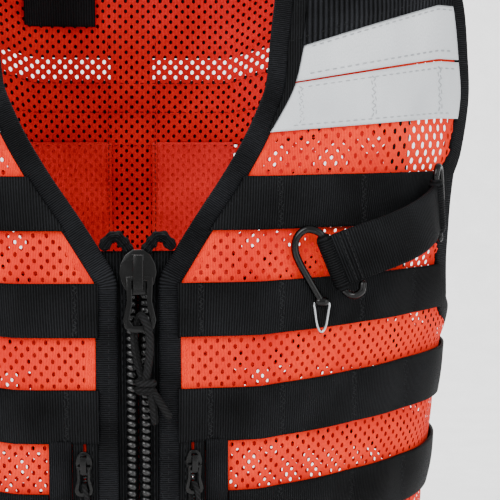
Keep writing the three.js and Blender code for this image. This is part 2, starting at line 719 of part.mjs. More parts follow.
// Pocket zips: a placket on each front below the third row
const pocketDowns = [
  pocketTop + GAP,
  ...rowEdges.filter((down) => down > pocketTop + 1 && down < pocketBottom - 8),
  pocketBottom,
];

for (const [side, name] of [[1, 'left'], [-1, 'right']]) {
  const low = outerFace;
  const high = low + PANEL_WALL;
  const ridge = high + 0.7;
  const at = (width) => side * (PLACKET_HALF + width);
  const corners = [
    [at(GAP), low], [at(POCKET_WIDTH - GAP), low], [at(POCKET_WIDTH - GAP), ridge],
    [at(POCKET_ZIP_WIDTH + GAP), ridge], [at(POCKET_ZIP_WIDTH - GAP), high], [at(GAP), high],
  ];
  add(`pocket_zip_${name}`, strip(corners, pocketDowns), MATERIALS.binding);
}

// Sliders with their pull tabs and cords. They are drawn with x across, y up and z away from the cloth
function plate(outline, thickness, z) {
  const shape = new THREE.Shape(outline.map(([x, y]) => new THREE.Vector2(x, y)));
  const solid = new THREE.ExtrudeGeometry(shape, { depth: thickness, bevelEnabled: false, curveSegments: 4 });
  return solid.translate(0, 0, z);
}

function block(width, height, depth, x, y, z) {
  return new THREE.BoxGeometry(width, height, depth).translate(x, y, z + depth / 2);
}

function dome(width, length) {
  const half = width / 2;
  const top = length / 2;
  const tail = half * 0.6;
  const right = [
    [half * 0.32, top], [half * 0.68, top * 0.78], [half * 0.93, top * 0.38], [half, 0],
    [half * 0.86, -top * 0.5], [tail, -top * 0.86], [tail * 0.8, -top],
  ];
  const left = right.map(([x, y]) => [-x, y]).reverse();
  return [...right, ...left].reverse();
}

function sliderBody(size) {
  const over = size.lift + size.plate;
  const reach = size.length * 0.86;
  const wallAt = reach / 2 - size.plate;
  const solids = [
    plate(dome(size.width, size.length), size.plate, size.lift),
    block(size.bridge, size.plate, size.bridgeHeight, 0, wallAt, over - 0.4),
    block(size.bridge, size.plate, size.bridgeHeight, 0, -wallAt, over - 0.4),
    block(size.bridge, 2 * wallAt + size.plate, size.plate, 0, 0, over + size.bridgeHeight - size.plate),
  ];
  if (size.rear) {
    const back = tapeFace - ZIP_TAPE_WALL - 2 * GAP - size.plate;
    solids.push(plate(dome(size.width * 0.94, size.length), size.plate, back));
    const post = size.lift - back;
    solids.push(block(1.6, 3.2, post, 0, size.length / 2 - 3.2, back + 0.2));
  }
  return toGeometry(join(solids.map(toSolid)));
}

// The pull tab hangs from a cross bar under the bridge
function tabGeometry(size) {
  const top = size.tabTop / 2;
  const end = size.tabEnd / 2;
  const low = -size.tabLength;
  const barHeight = size.tabWall * 1.1;
  const outline = [
    [-top, 0], [top, 0], [top * 0.92, low * 0.45], [end, low * 0.78], [end * 0.86, low * 0.93],
    [end * 0.45, low], [-end * 0.45, low], [-end * 0.86, low * 0.93], [-end, low * 0.78],
    [-top * 0.92, low * 0.45],
  ].reverse();
  const slotTop = size.slot / 2;
  const rim = size.tabWall * 1.4;
  const hole = [
    [-slotTop, -barHeight], [slotTop, -barHeight], [slotTop, low * 0.5], [end - rim, low * 0.78],
    [slotTop * 0.8, low + rim], [-slotTop * 0.8, low + rim], [rim - end, low * 0.78], [-slotTop, low * 0.5],
  ];
  const shape = new THREE.Shape(outline.map(([x, y]) => new THREE.Vector2(x, y)));
  shape.holes.push(new THREE.Path(hole.map(([x, y]) => new THREE.Vector2(x, y))));
  return new THREE.ExtrudeGeometry(shape, { depth: size.tabWall, bevelEnabled: false });
}

// The cord's loop through the tab, the knot under it and the two tails, as chosen points in the tab's frame:
// across and down as they lie, out in front of the tab
const CORD_ROUTES = {
  main: {
    loop: [[1.6, -1.2, -48.5], [-1.3, -1.6, -38], [-2.6, -2.2, -27], [-0.6, -2.2, -20.4], [0.6, 0.9, -18],
      [2.2, 4.2, -20], [4.2, 4.9, -25.5], [4.4, 3, -36], [3.4, 0.2, -48.5]],
    knot: [2.6, -0.4, -50.5],
    tails: [[[4.6, -0.2, -54], [6, -0.2, -60], [6.6, -0.4, -67]],
      [[5.6, 0, -53], [9.2, 0, -58.6], [13, -0.2, -64.6]]],
  },
  pocket: {
    loop: [[0.6, -0.4, -27], [-0.9, -0.9, -20], [-1.2, -1.5, -15], [-0.4, -1.5, -11], [0.1, 0.7, -8.9],
      [0.8, 3, -11], [1.6, 3.2, -15], [1.9, 2.1, -20], [1.5, 0.5, -27]],
    knot: [1, 0, -28.6],
    tails: [[[1.6, 0, -31], [0.6, 0, -36], [-0.4, 0, -41]],
      [[2.4, 0, -30.6], [4.4, 0, -35], [5.8, 0, -39.6]]],
  },
};

function cordGeometry(route, size) {
  const radius = size.cord / 2;
  const toPoint = ([x, out, y]) => new THREE.Vector3(x, y, out);
  const knot = new THREE.SphereGeometry(size.knot, 8, 6).scale(1, 0.92, 0.72);
  knot.translate(...toPoint(route.knot).toArray());
  const solids = [rod(route.loop.map(toPoint), radius, 13, 8), knot];
  for (const tail of route.tails) solids.push(rod(tail.map(toPoint), radius, 2, 8));
  return toGeometry(join(solids.map(toSolid)));
}

function pull(name, size, route, across, down) {
  const { point, normal, downward } = frontFrame(across, down, 0);
  const upward = downward.clone().negate();
  const right = new THREE.Vector3().crossVectors(upward, normal).normalize();
  const frame = new THREE.Matrix4().makeBasis(right, upward, normal).setPosition(point);
  const hang = size.lift + size.bridgeHeight - size.tabWall - GAP;
  const hung = new THREE.Matrix4().makeTranslation(size.tabAcross, -size.length * 0.08, hang);
  const placeAt = (mesh, matrix) => matrix.decompose(mesh.position, mesh.quaternion, mesh.scale);
  placeAt(add(`${name}_slider`, sliderBody(size), MATERIALS.blackMetal), frame);
  const tabFrame = frame.clone().multiply(hung);
  placeAt(add(`${name}_tab`, tabGeometry(size), MATERIALS.blackMetal), tabFrame);
  placeAt(add(`${name}_cord`, cordGeometry(route, size), MATERIALS.cord), tabFrame);
}

pull('zip', MAIN_PULL, CORD_ROUTES.main, 0, SLIDER_DOWN);
const pocketDown = pocketTop + POCKET_SLIDER_DROP;
pull('pocket_left', POCKET_PULL, CORD_ROUTES.pocket, POCKET_SLIDER_ACROSS, pocketDown);
pull('pocket_right', POCKET_PULL, CORD_ROUTES.pocket, -POCKET_SLIDER_ACROSS, pocketDown);

// Side strap: stations from its inner to its armhole end. Across is a share of HALF_WIDTH, down of LENGTH, out
// of STRAP_BOW; lean is in degrees
const STRAP = [
  { across: 0.4613, down: 0.384, out: 0.4865, lean: 30 },
  { across: 0.5052, down: 0.376, out: 0.7297, lean: 27 },
  { across: 0.5567, down: 0.368, out: 0.9189, lean: 22 },
  { across: 0.6108, down: 0.359, out: 1.0, lean: 15 },
  { across: 0.6649, down: 0.349, out: 0.8919, lean: 8 },
  { across: 0.7062, down: 0.34, out: 0.6757, lean: 3 },
  { across: 0.7371, down: 0.334, out: 0.4324, lean: 0 },
];

function strapCentre(row) {
  return frontFrame(row.across * HALF_WIDTH, row.down * LENGTH, row.out * STRAP_BOW).point;
}

const strapCurve = new THREE.CatmullRomCurve3(STRAP.map(strapCentre), false, 'centripetal');
const strapLength = strapCurve.getLength();

// Frame of the strap at a length from its inner end: centre, run, width direction and outward direction
function strapFrame(length) {
  const share = Math.min(Math.max(length / strapLength, 0), 1);
  const centre = strapCurve.getPointAt(share);
  const run = strapCurve.getTangentAt(share);
  centre.addScaledVector(run, length - share * strapLength);
  const station = share * (STRAP.length - 1);
  const k = Math.min(Math.floor(station), STRAP.length - 2);
  const lean = THREE.MathUtils.degToRad(THREE.MathUtils.lerp(STRAP[k].lean, STRAP[k + 1].lean, station - k));
  const low = new THREE.Vector3(Math.sin(lean), 0, -Math.cos(lean));
  low.addScaledVector(run, -low.dot(run)).normalize();
  const out = new THREE.Vector3().crossVectors(low, run).normalize();
  return { centre, run, low, out };
}

function strapPoint(length, low, out) {
  const frame = strapFrame(length);
  return frame.centre.addScaledVector(frame.low, low).addScaledVector(frame.out, out);
}

const STRAP_STATIONS = [0, 0.1, 0.22, 0.36, 0.5, 0.64, 0.78, 0.9, 1];
const strapBand = bar(STRAP_STATIONS.map((share) => {
  const corner = (low, out) => strapPoint(share * strapLength, low * WEBBING_WIDTH, out * STRAP_WALL);
  return [corner(-0.5, -0.5), corner(0.5, -0.5), corner(0.5, 0.5), corner(-0.5, 0.5)];
}), false);

// A round body along an axis
function rodAlong(centre, axis, length, radius, sides) {
  const cylinder = new THREE.CylinderGeometry(radius, radius, length, sides);
  cylinder.applyQuaternion(new THREE.Quaternion().setFromUnitVectors(new THREE.Vector3(0, 1, 0), axis));
  return cylinder.translate(centre.x, centre.y, centre.z);
}

// The strap's band with a sewn tunnel at each end for the wire of a hook
const tunnel = (length, width, radius, sides) => {
  const { centre, low } = strapFrame(length);
  return toSolid(rodAlong(centre, low, width, radius, sides));
};
const strapEnds = [0, strapLength];
const strapTunnels = strapEnds.map((end) => tunnel(end, WEBBING_WIDTH, STRAP_LOOP, 10));
const strapSolid = join([toSolid(strapBand), ...strapTunnels]);
const strapBores = strapEnds.map((end) => tunnel(end, 2 * WEBBING_WIDTH, WIRE / 2 + WIRE_GAP, 8));
add('side_strap', toGeometry(strapSolid.subtract(join(strapBores))), MATERIALS.webbing);

// Front snap hook: its wire passes through the strap's inner tunnel, ends in an eye and curls at the other end.
// The route is in the strap's own frame at that end: along the strap, down its width, and outward
const HOOK_ROUTE = [
  [9.2, 14.5, 1.6], [7.4, 17.4, 2.2], [3.4, 18.2, 1.2], [0.5, 15.6, 0.2], [0, 12, 0], [0, 0, 0], [0, -12, 0],
  [-1.2, -16.2, 0.3], [-6, -19.4, 0.6], [-11.4, -17.6, 0.8], [-14.4, -12.4, 0.9], [-14.8, -6.4, 0.9],
  [-13.8, 2, 0.9], [-12.1, 14.2, 0.9],
];

const hookFrame = strapFrame(0);

function inFrame(frame, [length, low, out]) {
  const point = frame.centre.clone().addScaledVector(frame.run, length);
  return point.addScaledVector(frame.low, low).addScaledVector(frame.out, out);
}

const EYE_PLACE = [-11.9, 15.2, 0.9];
const eyeCentre = inFrame(hookFrame, EYE_PLACE);
const eyeAxis = new THREE.Vector3(1, 0, 0).addScaledVector(hookFrame.out, -hookFrame.out.x).normalize();

const hookWire = toSolid(rod(HOOK_ROUTE.map((p) => inFrame(hookFrame, p)), WIRE / 2, 24, 7));
const eye = toSolid(rodAlong(eyeCentre, eyeAxis, EYE_LENGTH, EYE_RADIUS, 10));
const bore = toSolid(rodAlong(eyeCentre, eyeAxis, EYE_LENGTH * 2, GATE_WIRE / 2 + GAP, 8));
add('snap_hook_front', toGeometry(join([hookWire, eye]).subtract(bore)), MATERIALS.blackMetal);

// Wire gate of the hook: a U that hangs from the eye and pivots in its bore
const gateDown = new THREE.Vector3(0, 0, -1);
gateDown.addScaledVector(eyeAxis, -gateDown.dot(eyeAxis)).normalize();
const gateHalf = GATE_WIDTH / 2;
const GATE_ROUTE = [
  [-0.6, 0], [-2.4, 0], [-gateHalf, 1.2], [-gateHalf * 0.9, 4], [-gateHalf * 0.55, GATE_LENGTH * 0.8],
  [0, GATE_LENGTH], [gateHalf * 0.55, GATE_LENGTH * 0.8], [gateHalf * 0.9, 4], [gateHalf, 1.2],
  [2.4, 0], [0.6, 0],
].map(([across, down]) => eyeCentre.clone().addScaledVector(eyeAxis, across).addScaledVector(gateDown, down));
add('snap_gate', rod(GATE_ROUTE, GATE_WIRE / 2, 18, 5), MATERIALS.steel);

// The hook at the armhole end: one plain piece whose upper bend and lower tip show
const sideFrame = strapFrame(strapLength);
const SIDE_ROUTE = [
  [-1, 17, 0.6], [0.1, 14, 0.2], [0, 0, 0], [0, -12, 0], [0.8, -17, 0.4], [4.2, -19.5, 0.8], [7.4, -16.5, 0.9],
  [7.8, -8, 0.8], [7.4, 2, 0.6],
].map((p) => inFrame(sideFrame, p));
add('snap_hook_side', rod(SIDE_ROUTE, WIRE / 2, 13, 6), MATERIALS.blackMetal);

export default vest;
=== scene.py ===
"""A utility work vest: knitted orange-red mesh with real holes, black ribbed webbing rows, reflective tapes,
a coarse coil zip with a corded pull, two pocket zips and a side strap with wire hooks.
Lengths in the tables are millimetres; meshes are written in metres in the frame of the CAD model."""
import math
import bmesh
import bpy
import numpy as np
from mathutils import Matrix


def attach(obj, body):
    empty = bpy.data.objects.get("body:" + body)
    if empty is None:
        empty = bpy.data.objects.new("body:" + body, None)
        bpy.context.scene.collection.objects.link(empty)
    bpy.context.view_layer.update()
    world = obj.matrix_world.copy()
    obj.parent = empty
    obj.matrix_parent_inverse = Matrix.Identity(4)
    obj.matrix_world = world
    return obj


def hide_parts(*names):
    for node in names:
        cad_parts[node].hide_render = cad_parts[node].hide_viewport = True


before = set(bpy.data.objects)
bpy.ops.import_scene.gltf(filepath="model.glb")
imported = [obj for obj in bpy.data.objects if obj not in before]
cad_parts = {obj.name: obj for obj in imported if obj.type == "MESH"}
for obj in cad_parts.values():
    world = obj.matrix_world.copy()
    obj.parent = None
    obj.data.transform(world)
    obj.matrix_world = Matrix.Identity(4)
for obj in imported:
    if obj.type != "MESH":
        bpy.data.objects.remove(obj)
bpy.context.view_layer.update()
MM = 0.001
VEST = "vest"
SIDES = ((1, "left"), (-1, "right"))

# Driving sizes of the garment, as in the CAD model
LENGTH, HALF_WIDTH, FRONT_DEPTH, BACK_DEPTH = 500.0, 194.0, 111.0, 96.0
SQUARENESS, SHOULDER_ROLL = 2.25, 45.0
NECK_HALF_WIDTH, NECK_DEPTH, BACK_NECK_DROP = 82.0, 199.0, 35.0
PLACKET_HALF, ARMHOLE_DEPTH, BINDING_WIDTH = 18.3, 243.0, 8.7
OUTWARD_RISE, RISE_FROM, RISE_RUN = 30.0, 57.0, 93.0
TAPE_TOP, TAPE_SPLIT, TAPE_BOTTOM = 95.0, 109.0, 130.0
ROW_TOP, ROW_PITCH, WEBBING = 150.0, 49.0, 25.0
YOKE_BOTTOM, BAND_TOP, BAND_BOTTOM = 85.0, 98.0, 136.0
HEM = LENGTH - BINDING_WIDTH - 0.3
POCKET_TOP, POCKET_LENGTH = 273.0, 156.0
OUTER = 1.6

# Down as a share, then half width, front depth and back depth as shares
SECTIONS = np.array([
    (0.0, 1.0, 0.559, 0.542), (0.09, 1.0, 0.667, 0.688), (0.2, 0.979, 0.811, 0.854), (0.3, 0.938, 0.919, 0.969),
    (0.4, 0.887, 0.973, 1.0), (0.5, 0.84, 1.0, 0.99), (0.6, 0.814, 1.0, 0.958), (0.7, 0.778, 0.982, 0.938),
    (0.8, 0.763, 0.973, 0.938), (0.92, 0.784, 0.991, 0.969), (1.0, 0.804, 1.009, 1.0)])
RISES = np.array([
    (0.0, -0.533), (0.08, 0.133), (0.14, 0.667), (0.19, 1.0), (0.218, 0.533), (0.26, 0.267), (0.3, 0.067),
    (0.35, 0.067), (0.398, 0.133), (0.448, 0.233), (0.496, 0.3), (0.6, 0.3), (1.0, 0.2)])
NECK_EDGE = np.array([
    (0.0, 1.0), (0.32, 0.914), (0.46, 0.859), (0.55, 0.82), (0.63, 0.717), (0.754, 0.498), (0.88, 0.235), (1.0, 0.0)])
ARMHOLE_EDGE = np.array([
    (0.0, 0.533, 0.533), (0.165, 0.561, 0.556), (0.366, 0.596, 0.58), (0.444, 0.636, 0.59), (0.506, 0.658, 0.6),
    (0.576, 0.645, 0.605), (0.617, 0.619, 0.61), (0.79, 0.65, 0.64), (0.92, 0.71, 0.71), (0.965, 0.8, 0.8),
    (1.0, 1.0, 1.0)])
# Side, face, turn, down share, lean, length, width, height of the broad folds
FOLDS = (
    (1, 1, 0.4, 0.23, 60, 70, 26, 2.0), (1, 1, 0.7, 0.52, -70, 80, 30, 2.2), (-1, 1, 0.35, 0.47, 35, 70, 28, -2.2),
    (-1, 1, 0.55, 0.3, -60, 70, 28, 2.2), (1, -1, 0.4, 0.42, 75, 90, 34, -3.0), (-1, -1, 0.45, 0.6, 80, 90, 34, 2.8),
    (1, -1, 0.8, 0.8, 10, 90, 32, 3.0), (-1, 1, 0.8, 0.82, 15, 90, 32, -2.8))


def along(table, column, at):
    """Cubic pieces through a table's column, their slopes the harmonic mean of the steps on both sides."""
    x, y = table[:, 0], table[:, column]
    step = np.diff(x)
    slope = np.diff(y) / step
    inner = np.where(slope[:-1] * slope[1:] > 0,
                     2 * slope[:-1] * slope[1:] / np.where(slope[:-1] + slope[1:] == 0, 1, slope[:-1] + slope[1:]), 0)
    tangent = np.concatenate(([slope[0]], inner, [slope[-1]]))
    t = np.clip(np.asarray(at, float), x[0], x[-1])
    k = np.clip(np.searchsorted(x, t, side="right") - 1, 0, len(x) - 2)
    u = (t - x[k]) / step[k]
    rise = y[k + 1] - y[k]
    m0, m1 = tangent[k] * step[k], tangent[k + 1] * step[k]
    return y[k] + u * (m0 + u * (3 * rise - 2 * m0 - m1 + u * (m0 + m1 - 2 * rise)))


ROLL_PATH = (math.pi / 4) * (SHOULDER_ROLL + FRONT_DEPTH * SECTIONS[0, 2])


def down_of(path):
    """Depth under the shoulder of a length over it: a quarter turn of the roll, then straight down."""
    p = np.abs(path)
    roll = SHOULDER_ROLL * (1 - np.cos(np.minimum(p / ROLL_PATH, 1) * math.pi / 2))
    return np.where(p >= ROLL_PATH, SHOULDER_ROLL + p - ROLL_PATH, roll)


def path_of(down):
    down = np.asarray(down, float)
    roll = ROLL_PATH * np.arccos(np.clip(1 - down / SHOULDER_ROLL, -1, 1)) * 2 / math.pi
    return np.where(down >= SHOULDER_ROLL, ROLL_PATH + down - SHOULDER_ROLL, roll)


def half_width(down):
    return HALF_WIDTH * along(SECTIONS, 1, down / LENGTH)


def turn_of_x(x, down):
    share = np.clip(x / half_width(down), 0, 1)
    return np.arcsin(share ** (SQUARENESS / 2)) * 2 / math.pi


def body(side, turn, path):
    """Inner face of the cloth: a squarish superellipse at each depth, rolled over the shoulder, its seams lifted
    towards the armholes, with broad gaussian folds."""
    down = down_of(path)
    front = path >= 0
    full = np.where(front, FRONT_DEPTH, BACK_DEPTH)
    share = np.where(front, along(SECTIONS, 2, down / LENGTH), along(SECTIONS, 3, down / LENGTH))
    roll = np.sin(np.minimum(np.abs(path) / ROLL_PATH, 1) * math.pi / 2)
    angle = turn * math.pi / 2
    across = np.clip(np.sin(angle), 0, 1) ** (2 / SQUARENESS)
    ahead = np.clip(np.cos(angle), 0, 1) ** (2 / SQUARENESS)
    fold = np.zeros_like(down + turn)
    for s, face, at, depth, lean, length, width, height in FOLDS:
        if s == side:
            a = (turn - at) * (HALF_WIDTH + FRONT_DEPTH) * 0.8
            b = down - depth * LENGTH
            c, d = math.cos(math.radians(lean)), math.sin(math.radians(lean))
            bump = height * np.exp(-(((a * c + b * d) / length) ** 2) - ((b * c - a * d) / width) ** 2)
            fold = fold + np.where(front == (face > 0), bump, 0)
    fold = fold * np.minimum(turn / 0.25, 1) ** 2
    x = (half_width(down) + fold) * across
    y = (full * share + fold) * roll * ahead
    lift = OUTWARD_RISE * along(RISES, 1, down / LENGTH) * np.clip((x - RISE_FROM) / RISE_RUN, 0, 1)
    return np.stack(np.broadcast_arrays(side * x, np.where(front, -y, y), lift - down), -1)


def normals(side, turn, path):
    e = 0.004
    across = body(side, np.minimum(turn + e, 1), path) - body(side, np.maximum(turn - e, 0), path)
    sign = np.where(path >= 0, 1.0, -1.0)
    lower = np.abs(path)
    down = body(side, turn, sign * (lower + 1)) - body(side, turn, sign * np.maximum(lower - 1, 0))
    n = np.cross(down, across) * (side * sign)[..., None]
    return n / np.linalg.norm(n, axis=-1, keepdims=True)


def lifted(side, turn, path, offset):
    """The inner face moved out along its normal by the offset, in metres."""
    turn, path, offset = np.broadcast_arrays(np.asarray(turn, float), np.asarray(path, float), offset)
    return (body(side, turn, path) + normals(side, turn, path) * offset[..., None]) * MM


def neck_half(down):
    return PLACKET_HALF + (NECK_HALF_WIDTH - PLACKET_HALF) * along(NECK_EDGE, 1, down / NECK_DEPTH)


def inner_turn(down, front):
    """Turn of the neck edge and, under it, of the placket or the centre of the back."""
    back = NECK_HALF_WIDTH * np.sqrt(np.maximum(1 - (down / BACK_NECK_DROP) ** 2, 0))
    return turn_of_x(neck_half(down) if front else back, down)


def outer_turn(down, front):
    return np.minimum(along(ARMHOLE_EDGE, 1 if front else 2, down / ARMHOLE_DEPTH), 0.9999)


# Camera first, at the photograph's angle
def look(position, yaw, pitch, focal_px):
    data = bpy.data.cameras.new("camera")
    data.sensor_width = 36
    data.lens = focal_px * 36 / 500
    data.clip_start = 0.01
    camera = bpy.data.objects.new("camera", data)
    camera.location = [v * MM for v in position]
    camera.rotation_euler = (math.radians(90 - pitch), 0, math.radians(yaw))
    bpy.context.scene.collection.objects.link(camera)
    bpy.context.scene.camera = camera


look((-9.70, -752.07, -133.0), -5.5, 4.5, 1390)


def linear(code):
    """sRGB hex to linear RGBA."""
    values = [int(code[i:i + 2], 16) / 255 for i in (1, 3, 5)]
    return [v / 12.92 if v <= 0.04045 else ((v + 0.055) / 1.055) ** 2.4 for v in values] + [1.0]


def add(tree, kind, links=(), **settings):
    """Add one shader node: settings by name or input, and links as (input, source socket)."""
    node = tree.nodes.new("ShaderNode" + kind)
    for key, value in settings.items():
        if hasattr(node, key):
            setattr(node, key, value)
        else:
            node.inputs[key.replace("_", " ")].default_value = value
    for target, source in links:
        tree.links.new(source, node.inputs[target])
    return node


def fabric(name, colors, wave=None, noise=900.0, bump=0.3, rough=0.85, sheen=0.0, metal=0.0, gloss=0.3,
           source="UV"):
    """A material whose colour runs between two hexes by ribs and noise; wave holds the rib pitch in mm and its
    direction. One UV or object unit is a metre, so scales are worked out per metre."""
    material = bpy.data.materials.new(name)
    material.use_nodes = True
    tree = material.node_tree
    shader = tree.nodes["Principled BSDF"]
    place = add(tree, "TexCoord").outputs[source]
    grain = add(tree, "TexNoise", [("Vector", place)], Scale=noise, Detail=4.0)
    cloud = add(tree, "TexNoise", [("Vector", place)], Scale=28.0, Detail=3.0)
    height = grain.outputs["Fac"]
    if wave:
        pitch, direction = wave
        # Bands repeat every 2 pi / 20 of a unit at scale 1
        ribs = add(tree, "TexWave", [("Vector", place)], Scale=1000 / pitch * math.pi / 10, bands_direction=direction,
                   Distortion=0.35, Detail_Scale=3.0)
        mix = add(tree, "Math", [(0, ribs.outputs["Fac"]), (1, grain.outputs["Fac"])], operation="ADD")
        height = add(tree, "Math", [(0, mix.outputs[0])], operation="MULTIPLY")
        height.inputs[1].default_value = 0.5
        height = height.outputs[0]
    tone = add(tree, "Math", [(0, height), (1, cloud.outputs["Fac"])], operation="MULTIPLY")
    ramp = add(tree, "ValToRGB", [("Fac", tone.outputs[0])])
    ramp.color_ramp.elements[0].position, ramp.color_ramp.elements[1].position = 0.1, 0.5
    ramp.color_ramp.elements[0].color, ramp.color_ramp.elements[1].color = linear(colors[0]), linear(colors[1])
    relief = add(tree, "Bump", [("Height", height)], Strength=bump, Distance=0.0006)
    tree.links.new(ramp.outputs["Color"], shader.inputs["Base Color"])
    tree.links.new(relief.outputs["Normal"], shader.inputs["Normal"])
    shader.inputs["Roughness"].default_value = rough
    shader.inputs["Metallic"].default_value = metal
    shader.inputs["Sheen Weight"].default_value = sheen
    shader.inputs["Specular IOR Level"].default_value = gloss
    return material


# Warp-knitted polyester mesh, dyed orange-red: bright where the yarn catches light, with fine upright wales
KNIT = fabric("polyester_mesh_orange", ("#C00C08", "#FF3C12"), wave=(0.7, "X"), bump=0.35, gloss=0.15)
# The same knit with painted shade, for where its inside shows: a deeper, more crimson red that stands in for the shade
# inside the vest
KNIT_PAINTED_SHADE = fabric("polyester_mesh_red_painted_shade", ("#A8040E", "#F01E1C"), wave=(0.7, "X"), bump=0.35, gloss=0.12)
# The same knit doubled inside, in shade
KNIT_INNER = fabric("polyester_mesh_red_inside", ("#B01018", "#F0342C"), wave=(0.7, "X"), bump=0.35, gloss=0.15)
# Black woven nylon webbing with fine ribs of about 1.2 mm across its length
WEB = fabric("nylon_webbing_black", ("#000000", "#1C1D1F"), wave=(1.2, "X"), bump=1.0, rough=0.65, gloss=0.06)
# Folded grosgrain with ribs across it every millimetre
GROSGRAIN = fabric("grosgrain_black", ("#000000", "#212225"), wave=(1.0, "X"), bump=1.0, rough=0.65, gloss=0.06)
# Knitted spacer mesh, black, with wide soft ribs of 2.6 mm
SPACER = fabric("spacer_mesh_black", ("#000000", "#26272A"), wave=(2.6, "X"), noise=1500.0, bump=0.9, gloss=0.06)
# Glass-bead reflective tape: pale grey, faintly lustrous, with a fine cloth grain
REFLEX = fabric("reflective_tape_silver", ("#B9BDC1", "#DDE0E2"), noise=1800.0, bump=0.12, rough=0.5, metal=0.1,
                gloss=0.4)
# Injection-moulded polyester coil, satin black
COIL = fabric("coil_polyester_black", ("#020202", "#0C0C0D"), noise=600.0, bump=0.12, rough=0.3, gloss=0.5,
              source="Object")
# Zinc casting under satin black paint, with a fine orange-peel
PAINT = fabric("zinc_black_painted", ("#000000", "#030303"), noise=350.0, bump=0.08, rough=0.22, gloss=0.25,
               source="Object")
# Drawn stainless wire, bright
WIRE_STEEL = fabric("stainless_wire", ("#9DA0A3", "#E4E6E8"), noise=500.0, bump=0.05, rough=0.2, metal=1.0, gloss=0.5,
                    source="Object")
# Polyester sewing thread, black and light grey
THREAD = fabric("thread_black", ("#040404", "#28292B"), noise=2500.0, bump=0.3, gloss=0.2, source="Object")
THREAD_GREY = fabric("thread_grey", ("#8C9094", "#B4B8BB"), noise=2500.0, bump=0.3, source="Object")
# Braided polyester cord: slanting yarns in two dark greys
BRAID = fabric("braided_cord_grey", ("#050505", "#1D1D1E"), wave=(1.1, "DIAGONAL"), bump=0.9, rough=0.8, gloss=0.15)


def piece(name, points, quads, uv, material, replaces=(), ride=VEST, smooth=True):
    """Make an object from points, quads and one UV pair per point."""
    mesh = bpy.data.meshes.new(name)
    points, quads = np.asarray(points).reshape(-1, 3), np.asarray(quads)
    mesh.from_pydata(points.tolist(), [], quads.tolist())
    if uv is not None:
        layer = mesh.uv_layers.new(name="UVMap")
        layer.data.foreach_set("uv", np.asarray(uv).reshape(-1, 2)[quads.reshape(-1)].reshape(-1))
    mesh.polygons.foreach_set("use_smooth", [smooth] * len(mesh.polygons))
    mesh.materials.append(material)
    mesh.update()
    thing = bpy.data.objects.new(name, mesh)
    bpy.context.scene.collection.objects.link(thing)
    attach(thing, ride)
    if replaces:
        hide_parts(*replaces)
    return thing


def grid_quads(rows, columns, start=0, closed=False):
    """Quads of a grid of points; closed joins the last column to the first."""
    r, c = np.meshgrid(np.arange(rows - 1), np.arange(columns if closed else columns - 1), indexing="ij")
    n = (c + 1) % columns
    return (start + np.stack([r * columns + c, r * columns + n, (r + 1) * columns + n, (r + 1) * columns + c], -1)
            ).reshape(-1, 4)


def closed_wall(outer, inner, uv, flip):
    """Two grids of points joined round their rims into one closed wall, quads facing outward."""
    rows, columns = outer.shape[:2]
    count = rows * columns
    top = grid_quads(rows, columns)
    ring = np.concatenate([np.arange(columns), np.arange(1, rows) * columns + columns - 1,
                           (rows - 1) * columns + np.arange(columns - 2, -1, -1),
                           np.arange(rows - 2, 0, -1) * columns])
    after = np.roll(ring, -1)
    rim = np.stack([after, ring, ring + count, after + count], -1)
    quads = np.concatenate([top, top[:, ::-1] + count, rim])
    if flip:
        quads = quads[:, ::-1]
    return np.concatenate([outer.reshape(-1, 3), inner.reshape(-1, 3)]), quads, np.concatenate([uv, uv]).reshape(-1, 2)


def wrinkle(across, down, seed):
    """Small slack of sewn cloth: three crossed sine waves of 20 to 60 mm, well under a millimetre."""
    return (0.45 * np.sin(across / 9.0 + seed) * np.sin(down / 13.0 + 2 * seed)
            + 0.35 * np.sin((across + down) / 17.0 + 3 * seed) + 0.2 * np.sin((across - 2 * down) / 11.0 + seed))


CUT = {}


def hand_of(side):
    return "left" if side > 0 else "right"


def cloth(name, side, front, top, bottom, inner, outer, low, high, material, replaces=(), step=2.5, ease=0.0,
          bulge=None, seed=0.0):
    """A sewn layer between two depths and two edges: a grid of turn and path, from offset low to offset high,
    eased out by wrinkles and by a bulge given as a function of x and the share of the height."""
    p0, p1 = float(path_of(top)), float(path_of(bottom))
    rows = max(int((p1 - p0) / step), 2) + 1
    paths = np.linspace(p0, p1, rows)[:, None]
    downs = down_of(paths)
    a, b = inner(downs), outer(downs)
    columns = max(int(220 * float(np.max(b - a)) / step), 4) + 1
    share = np.linspace(0, 1, columns)[None, :]
    turn = a + (b - a) * share
    path = (paths if front else -paths) + 0 * turn
    x = np.abs(body(side, turn, path)[..., 0])
    edge = np.minimum(np.minimum(share, 1 - share) * columns, np.minimum(np.arange(rows), rows - 1 - np.arange(rows))
                      [:, None]) / 3
    slack = ease * (1 + wrinkle(x, paths, seed)) * np.clip(edge, 0, 1)
    if bulge:
        slack = slack + bulge(x, (paths - p0) / (p1 - p0))
    uv = np.stack([turn * 0.27 + 0 * path, -path * MM], -1)
    face = lifted(side, turn, path, high + slack)
    points, quads, uvs = closed_wall(face, lifted(side, turn, path, low + slack), uv, (side > 0) == front)
    # The flat size is the length of the longest line across and down, the area that of all the cells
    over, below = np.diff(face, axis=1), np.diff(face, axis=0)
    cells = np.linalg.norm(np.cross(over[:-1], below[:, :-1]), axis=-1).sum()
    wide, long = (np.linalg.norm(v, axis=-1).sum(a).max() for v, a in ((over, 1), (below, 0)))
    CUT[name] = (float(wide), float(long), float(cells), hand_of(side), front)
    return piece(name, points, quads, uvs, material, replaces)


